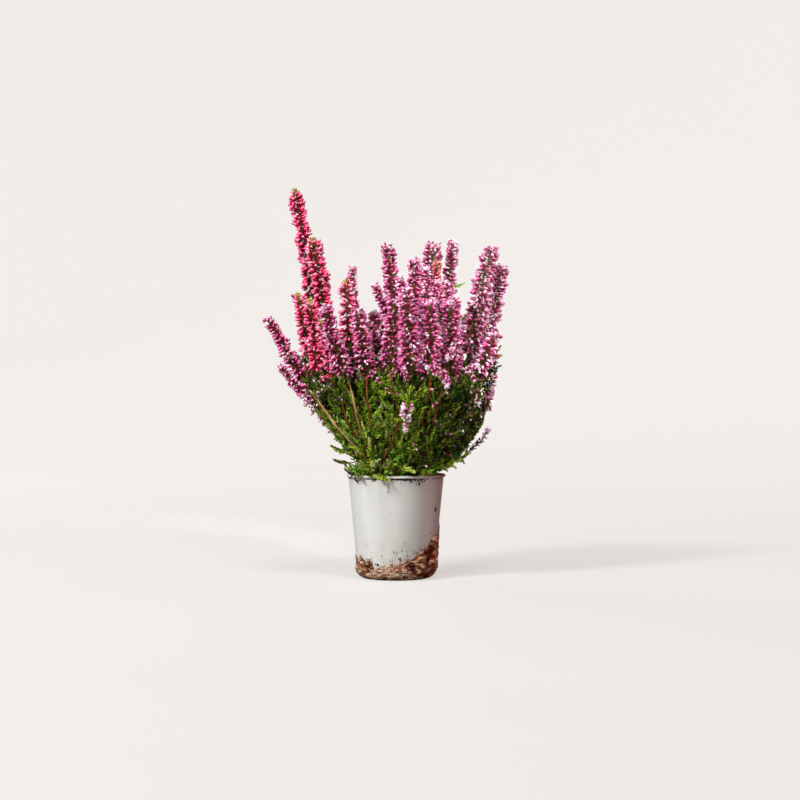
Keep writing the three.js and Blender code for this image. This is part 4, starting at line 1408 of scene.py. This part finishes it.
def makeRootMat():
    # a felt of roots moulded to the foot of the pot, thinning out up the wall
    rows, placeholder = rootMat["rows"], 1000
    felt = lathed([(0, 0), (9, 0), (18, 0), *cupLine(rootMat["thickness"] + 0.3, 8),
                   *[(40, placeholder + k) for k in range(rows)],
                   *[(39, placeholder + rows - k - 1) for k in range(rows)],
                   *reversed(cupLine(rootMat["gap"], 8)),
                   (0, rootMat["thickness"])], rootMat["steps"])
    for vertex in felt.data.vertices:
        x, y, z = (value / mm for value in vertex.co)
        radius, angle = math.hypot(x, y), math.atan2(y, x)
        bulge = 0.75 + 1.1 * smooth(math.cos(angle), -0.2, 0.8)
        if z > placeholder - 1:
            # the upper rows are set out as a plain tube first, and moved to the wall here
            share = (z - placeholder + 0.5) / rows
            height = cornerHeight - 1 + (raggedEdge(angle) - cornerHeight + 1) * share
            reach = wallRadius(height, rootMat["gap"])
            if radius > 39.5:
                thick = rootMat["thickness"] + (rootMat["edgeThickness"] - rootMat["thickness"]) * share
                lumps = noise.fractal(Vector((x * 0.5, y * 0.5, height)) * 0.3, 0.6, 2.2, 6)
                reach = wallRadius(height, rootMat["gap"] + max(0.2, thick * bulge * (0.75 + 0.6 * lumps)))
            vertex.co = (reach * math.cos(angle) * mm, reach * math.sin(angle) * mm, height * mm)
        elif 0.5 < z and radius > 24:
            lumps = noise.fractal(Vector((x * 0.5, y * 0.5, z)) * 0.3, 0.6, 2.2, 6)
            grow = 1 + 0.6 * lumps * smooth(z, 0.5, 4) / radius
            vertex.co.x *= grow
            vertex.co.y *= grow
    settle("rootFelt", slot="matted_roots", nodes=["root_mat"], paint=finishes["roots"], angle=70)


def strandLine(angle, height, way, length, off):
    points = []
    for share in np.linspace(0, 1, 9):
        turn = angle + way * length * share / 38 + 0.05 * noise.noise(Vector((angle * 9, share * 2, off)))
        rise = (1 - abs(way)) * length * share
        z = height + rise + 2.5 * noise.noise(Vector((share * 1.7, angle * 7, off + 3)))
        z = max(z, 0.7)
        if z < cornerHeight:
            drop = min(1.0, (cornerHeight - z) / (cornerHeight - 0.7))
            radius = wallRadius(cornerHeight) - pot["cornerRadius"] * slant * (1 - math.cos(math.asin(drop)))
            radius += 1.7
        else:
            radius = wallRadius(z, 0.7 + 0.5 * noise.noise(Vector((angle * 5, share * 3, off + 9))))
        points.append((radius * math.cos(turn), radius * math.sin(turn), z))
    return np.array(points)


palePatch = {"degrees": (232, 284), "share": 0.4}


def makeStrands():
    # loose root fibres over the felt; some stand up past its edge
    heap = Heap()
    count = rootMat["strands"] // rootMat["shades"]
    for shade in range(rootMat["shades"]):
        lines = []
        for k in range(count):
            angle = rng.uniform(0, 2 * math.pi)
            # the palest roots lie thickest in a patch low down at the front
            if shade > 4 and rng.uniform() < palePatch["share"]:
                angle = math.radians(rng.uniform(*palePatch["degrees"]))
            top = raggedEdge(angle)
            free = rng.uniform() < 0.2
            height = top - 2 if free else rng.uniform(1.2, max(2.5, top - 1))
            way = rng.choice([-1, 1]) * rng.uniform(*((0, 0.5) if free else (0.55, 1)))
            length = rng.uniform(3, 7) if free else rng.uniform(5, 17)
            thick = 0.14 if free else rng.choice([0.16, 0.22, 0.3, 0.42], p=[0.35, 0.35, 0.2, 0.1])
            lines.append((strandLine(angle, height, way, length, k * 1.7 + shade), thick, thick * 0.5))
        heap.addTubes(lines, 4, chance=(shade + 0.5) / rootMat["shades"])
    heap.build("rootStrands", slot="matted_roots", paint=finishes["strand"], angle=80)


# clots of compost on the wall: degrees from +X towards +Y, height and size
clots = [
    (214, 89.4, 1.9), (217, 88.2, 1.6), (220, 89.6, 1.7), (223, 90.0, 1.0), (218, 86.6, 0.8),
    (299, 87.2, 1.3), (295, 86.4, 1.1), (303, 88.6, 0.9), (291, 88.4, 0.6), (297, 89.8, 1.2),
    (301, 90.2, 1.0), (306, 89.4, 0.9), (293, 90.0, 0.8), (300, 84.8, 0.6), (331, 64, 2.1),
    (331, 62.4, 1.7), (311, 69, 0.7), (307, 58, 0.5), (331, 53, 0.8), (318, 40, 0.6),
    (324, 42, 0.8), (243, 14.6, 1.2), (240, 15.4, 0.8), (251, 23, 0.5), (233, 25, 0.4),
]
specks = {"count": 420, "tallest": 0.55}


def makeClots():
    heap = Heap()
    angles, heights, sizes = (np.array(column, float) for column in zip(*clots))
    count = specks["count"]
    # fine specks: most lie in a band under the lip or just above the root mat
    around = rng.uniform(0, 360, count)
    level = np.where(rng.uniform(0, 1, count) < 0.6, 91 - rng.gamma(1.2, 2.6, count),
                     rng.uniform(20, 88, count))
    low = np.array([matEdge(math.radians(angle)) for angle in around]) + rng.gamma(1.3, 4, count)
    level = np.where(rng.uniform(0, 1, count) < 0.4, low, level)
    angles, heights = np.radians(np.concatenate([angles, around])), np.concatenate([heights, level])
    sizes = np.concatenate([sizes, 0.14 + specks["tallest"] * rng.beta(1, 5, count)])
    keep = (heights > 12) & (heights < 91)
    angles, heights, sizes = angles[keep], heights[keep], sizes[keep]
    outs = np.stack([np.cos(angles), np.sin(angles), np.zeros(len(angles))], axis=1)
    places = outs * wallRadius(heights, 0.05)[:, None] + upwards * heights[:, None]
    spread = rng.uniform(0.6, 1.2, (len(angles), 3)) * sizes[:, None] * (1, 0.45, 1)
    heap.add(crumbShape, places, (repeated(upwards, len(angles)), outs), spread,
             chance=rng.uniform(0, 0.8, len(angles)))
    heap.build("compostClots", slot="compost", paint=finishes["peat"], angle=None)


def makePellets():
    # pale pellets of plant food, caught in the root mat and on the compost
    heap = Heap()
    angles = np.radians([248, 246.5, 20, 100, 170])
    heights = np.array([4.0, 2.6, 6, 5, 9])
    reach = np.array([wallRadius(cornerHeight) - 1.2, wallRadius(cornerHeight) - 2.4, 35.5, 35.5, 36.2])
    places = np.stack([reach * np.cos(angles), reach * np.sin(angles), heights], axis=1)
    ways = rng.normal(0, 1, (2, len(angles), 3))
    heap.add(crumbShape, places, ways, [(1.5, 1.3, 1.5)] * len(angles), chance=np.full(len(angles), 1.0))
    heap.build("pellets", slot="matted_roots", paint=finishes["peat"], angle=60)


makePot()
makeCompost()
makeCrumbs()
makeRootMat()
makeStrands()
makeClots()
makePellets()
for number, stem in enumerate(stems):
    makeStem(stem, tan=(number * 0.37) % 1)
    for fork, line in zip(stem["forks"], stem["lines"]):
        makeRaceme(fork, line)
makeStrays()


# Studio

# sizes in millimetres; the paper's own glow grows with its distance, in metres, from the pot and
# from the place where the lights fall brightest on it
stage = {"flat": 2100, "curve": 900, "top": 3300, "paper": (242, 237, 233), "nearGlow": 0.56,
         "farGlow": 0.9, "wallReach": 2.6, "wallBand": (0.3, 1.0), "brightest": (-0.4, -0.9, 0.0),
         "floorBand": (0.2, 3.4), "floorCurve": 0.7}


def makeStage():
    # a pale floor that curves up into a pale wall all round
    bend = [(stage["flat"] + stage["curve"] * math.sin(a), stage["curve"] * (1 - math.cos(a)))
            for a in np.linspace(0, math.pi / 2, 13)]
    profile = [(0, 0), (stage["flat"] / 2, 0), *bend, (stage["flat"] + stage["curve"], stage["top"])]
    floor = lathed(profile, 64)
    floor.name = "floor"
    paint = Paint("paperFloor", 0.9, Emission_Strength=1)
    tone = paint.grain(4, 2)
    paint.give("Base Color", paint.ramp(tone, [(0.3, (0.2, 0.196, 0.192)), (0.7, (0.204, 0.2, 0.197))]))
    # the paper's own glow is for the camera alone, so that it doesn't fill the plant's shadows
    seen = paint.node("ShaderNodeLightPath", {}, {}, "Is Camera Ray")
    out = paint.node("ShaderNodeVectorMath", {"operation": "LENGTH"}, {0: paint.place()}, "Value")
    pale = srgb(*stage["paper"])
    near, far = (tuple(value * stage[glow] for value in pale) for glow in ("nearGlow", "farGlow"))
    away = paint.node("ShaderNodeVectorMath", {"operation": "DISTANCE"},
                      {0: paint.place(), 1: stage["brightest"]}, "Value")
    wall = (out / stage["wallReach"]).between(*stage["wallBand"])
    reach = wall.larger(away.between(*stage["floorBand"]) ** stage["floorCurve"])
    glow = paint.mix(reach, near, far)
    paint.give("Emission Color", paint.mix(seen, (0.0, 0.0, 0.0), glow))
    floor.data.materials.append(paint.material)
    bpy.ops.object.shade_smooth()


def softBox(name, place, target, size, watts, colour=(1, 1, 1), spread=180):
    light = bpy.data.lights.new(name, "AREA")
    light.spread = math.radians(spread)
    light.shape, light.size, light.energy, light.color = "DISK", size, watts, colour
    box = linked(name, light)
    box.location = place
    box.rotation_euler = (Vector(target) - Vector(place)).to_track_quat("-Z", "Y").to_euler()


camera = {"distance": 1.6, "height": 0.173, "aim": 0.161, "side": 0.0036, "lens": 79.4}


def makeCamera():
    eye = linked("camera", bpy.data.cameras.new("camera"))
    eye.data.sensor_width, eye.data.lens = 36, camera["lens"]
    eye.location = (camera["side"], -camera["distance"], camera["height"])
    aim = Vector((camera["side"], 0, camera["aim"])) - eye.location
    eye.rotation_euler = aim.to_track_quat("-Z", "Y").to_euler()
    bpy.context.scene.camera = eye


makeStage()
makeCamera()
lights = {
    "key": {"place": (-1.3, -1.25, 1.5), "target": (0, 0, 0.16), "size": 0.45, "watts": 58},
    "fill": {"place": (0.9, -1.7, 0.9), "target": (0, 0, 0.2), "size": 0.8, "watts": 2},
    "side": {"place": (1.1, -1.5, 1.0), "target": (0.09, -0.01, 0.228), "size": 0.2,
             "watts": 0.13, "spread": 9},
    "top": {"place": (0.15, -0.8, 1.8), "target": (0, 0, 0.2), "size": 0.5, "watts": 19},
    "back": {"place": (-1.3, 1.6, 1.2), "target": (0, 0, 0.18), "size": 1.2, "watts": 9},
    "blush": {"place": (1.2, 0.35, 0.35), "target": (0, 0, 0.1), "size": 0.5, "watts": 0.15,
              "colour": (1, 0.14, 0.16), "spread": 24},
}
sky = {"colour": (250, 243, 232), "strength": 0.085}
for name, light in lights.items():
    softBox(name, **light)
world = bpy.data.worlds.new("studio")
world.use_nodes = True
world.node_tree.nodes["Background"].inputs["Color"].default_value = (*srgb(*sky["colour"]), 1)
world.node_tree.nodes["Background"].inputs["Strength"].default_value = sky["strength"]
bpy.context.scene.world = world
bpy.context.scene.view_settings.view_transform = "Standard"

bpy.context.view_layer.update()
triangles = sum(len(p.vertices) - 2 for o in bpy.data.objects
                if o.type == "MESH" and not o.hide_render for p in o.data.polygons)
print("triangles", triangles)
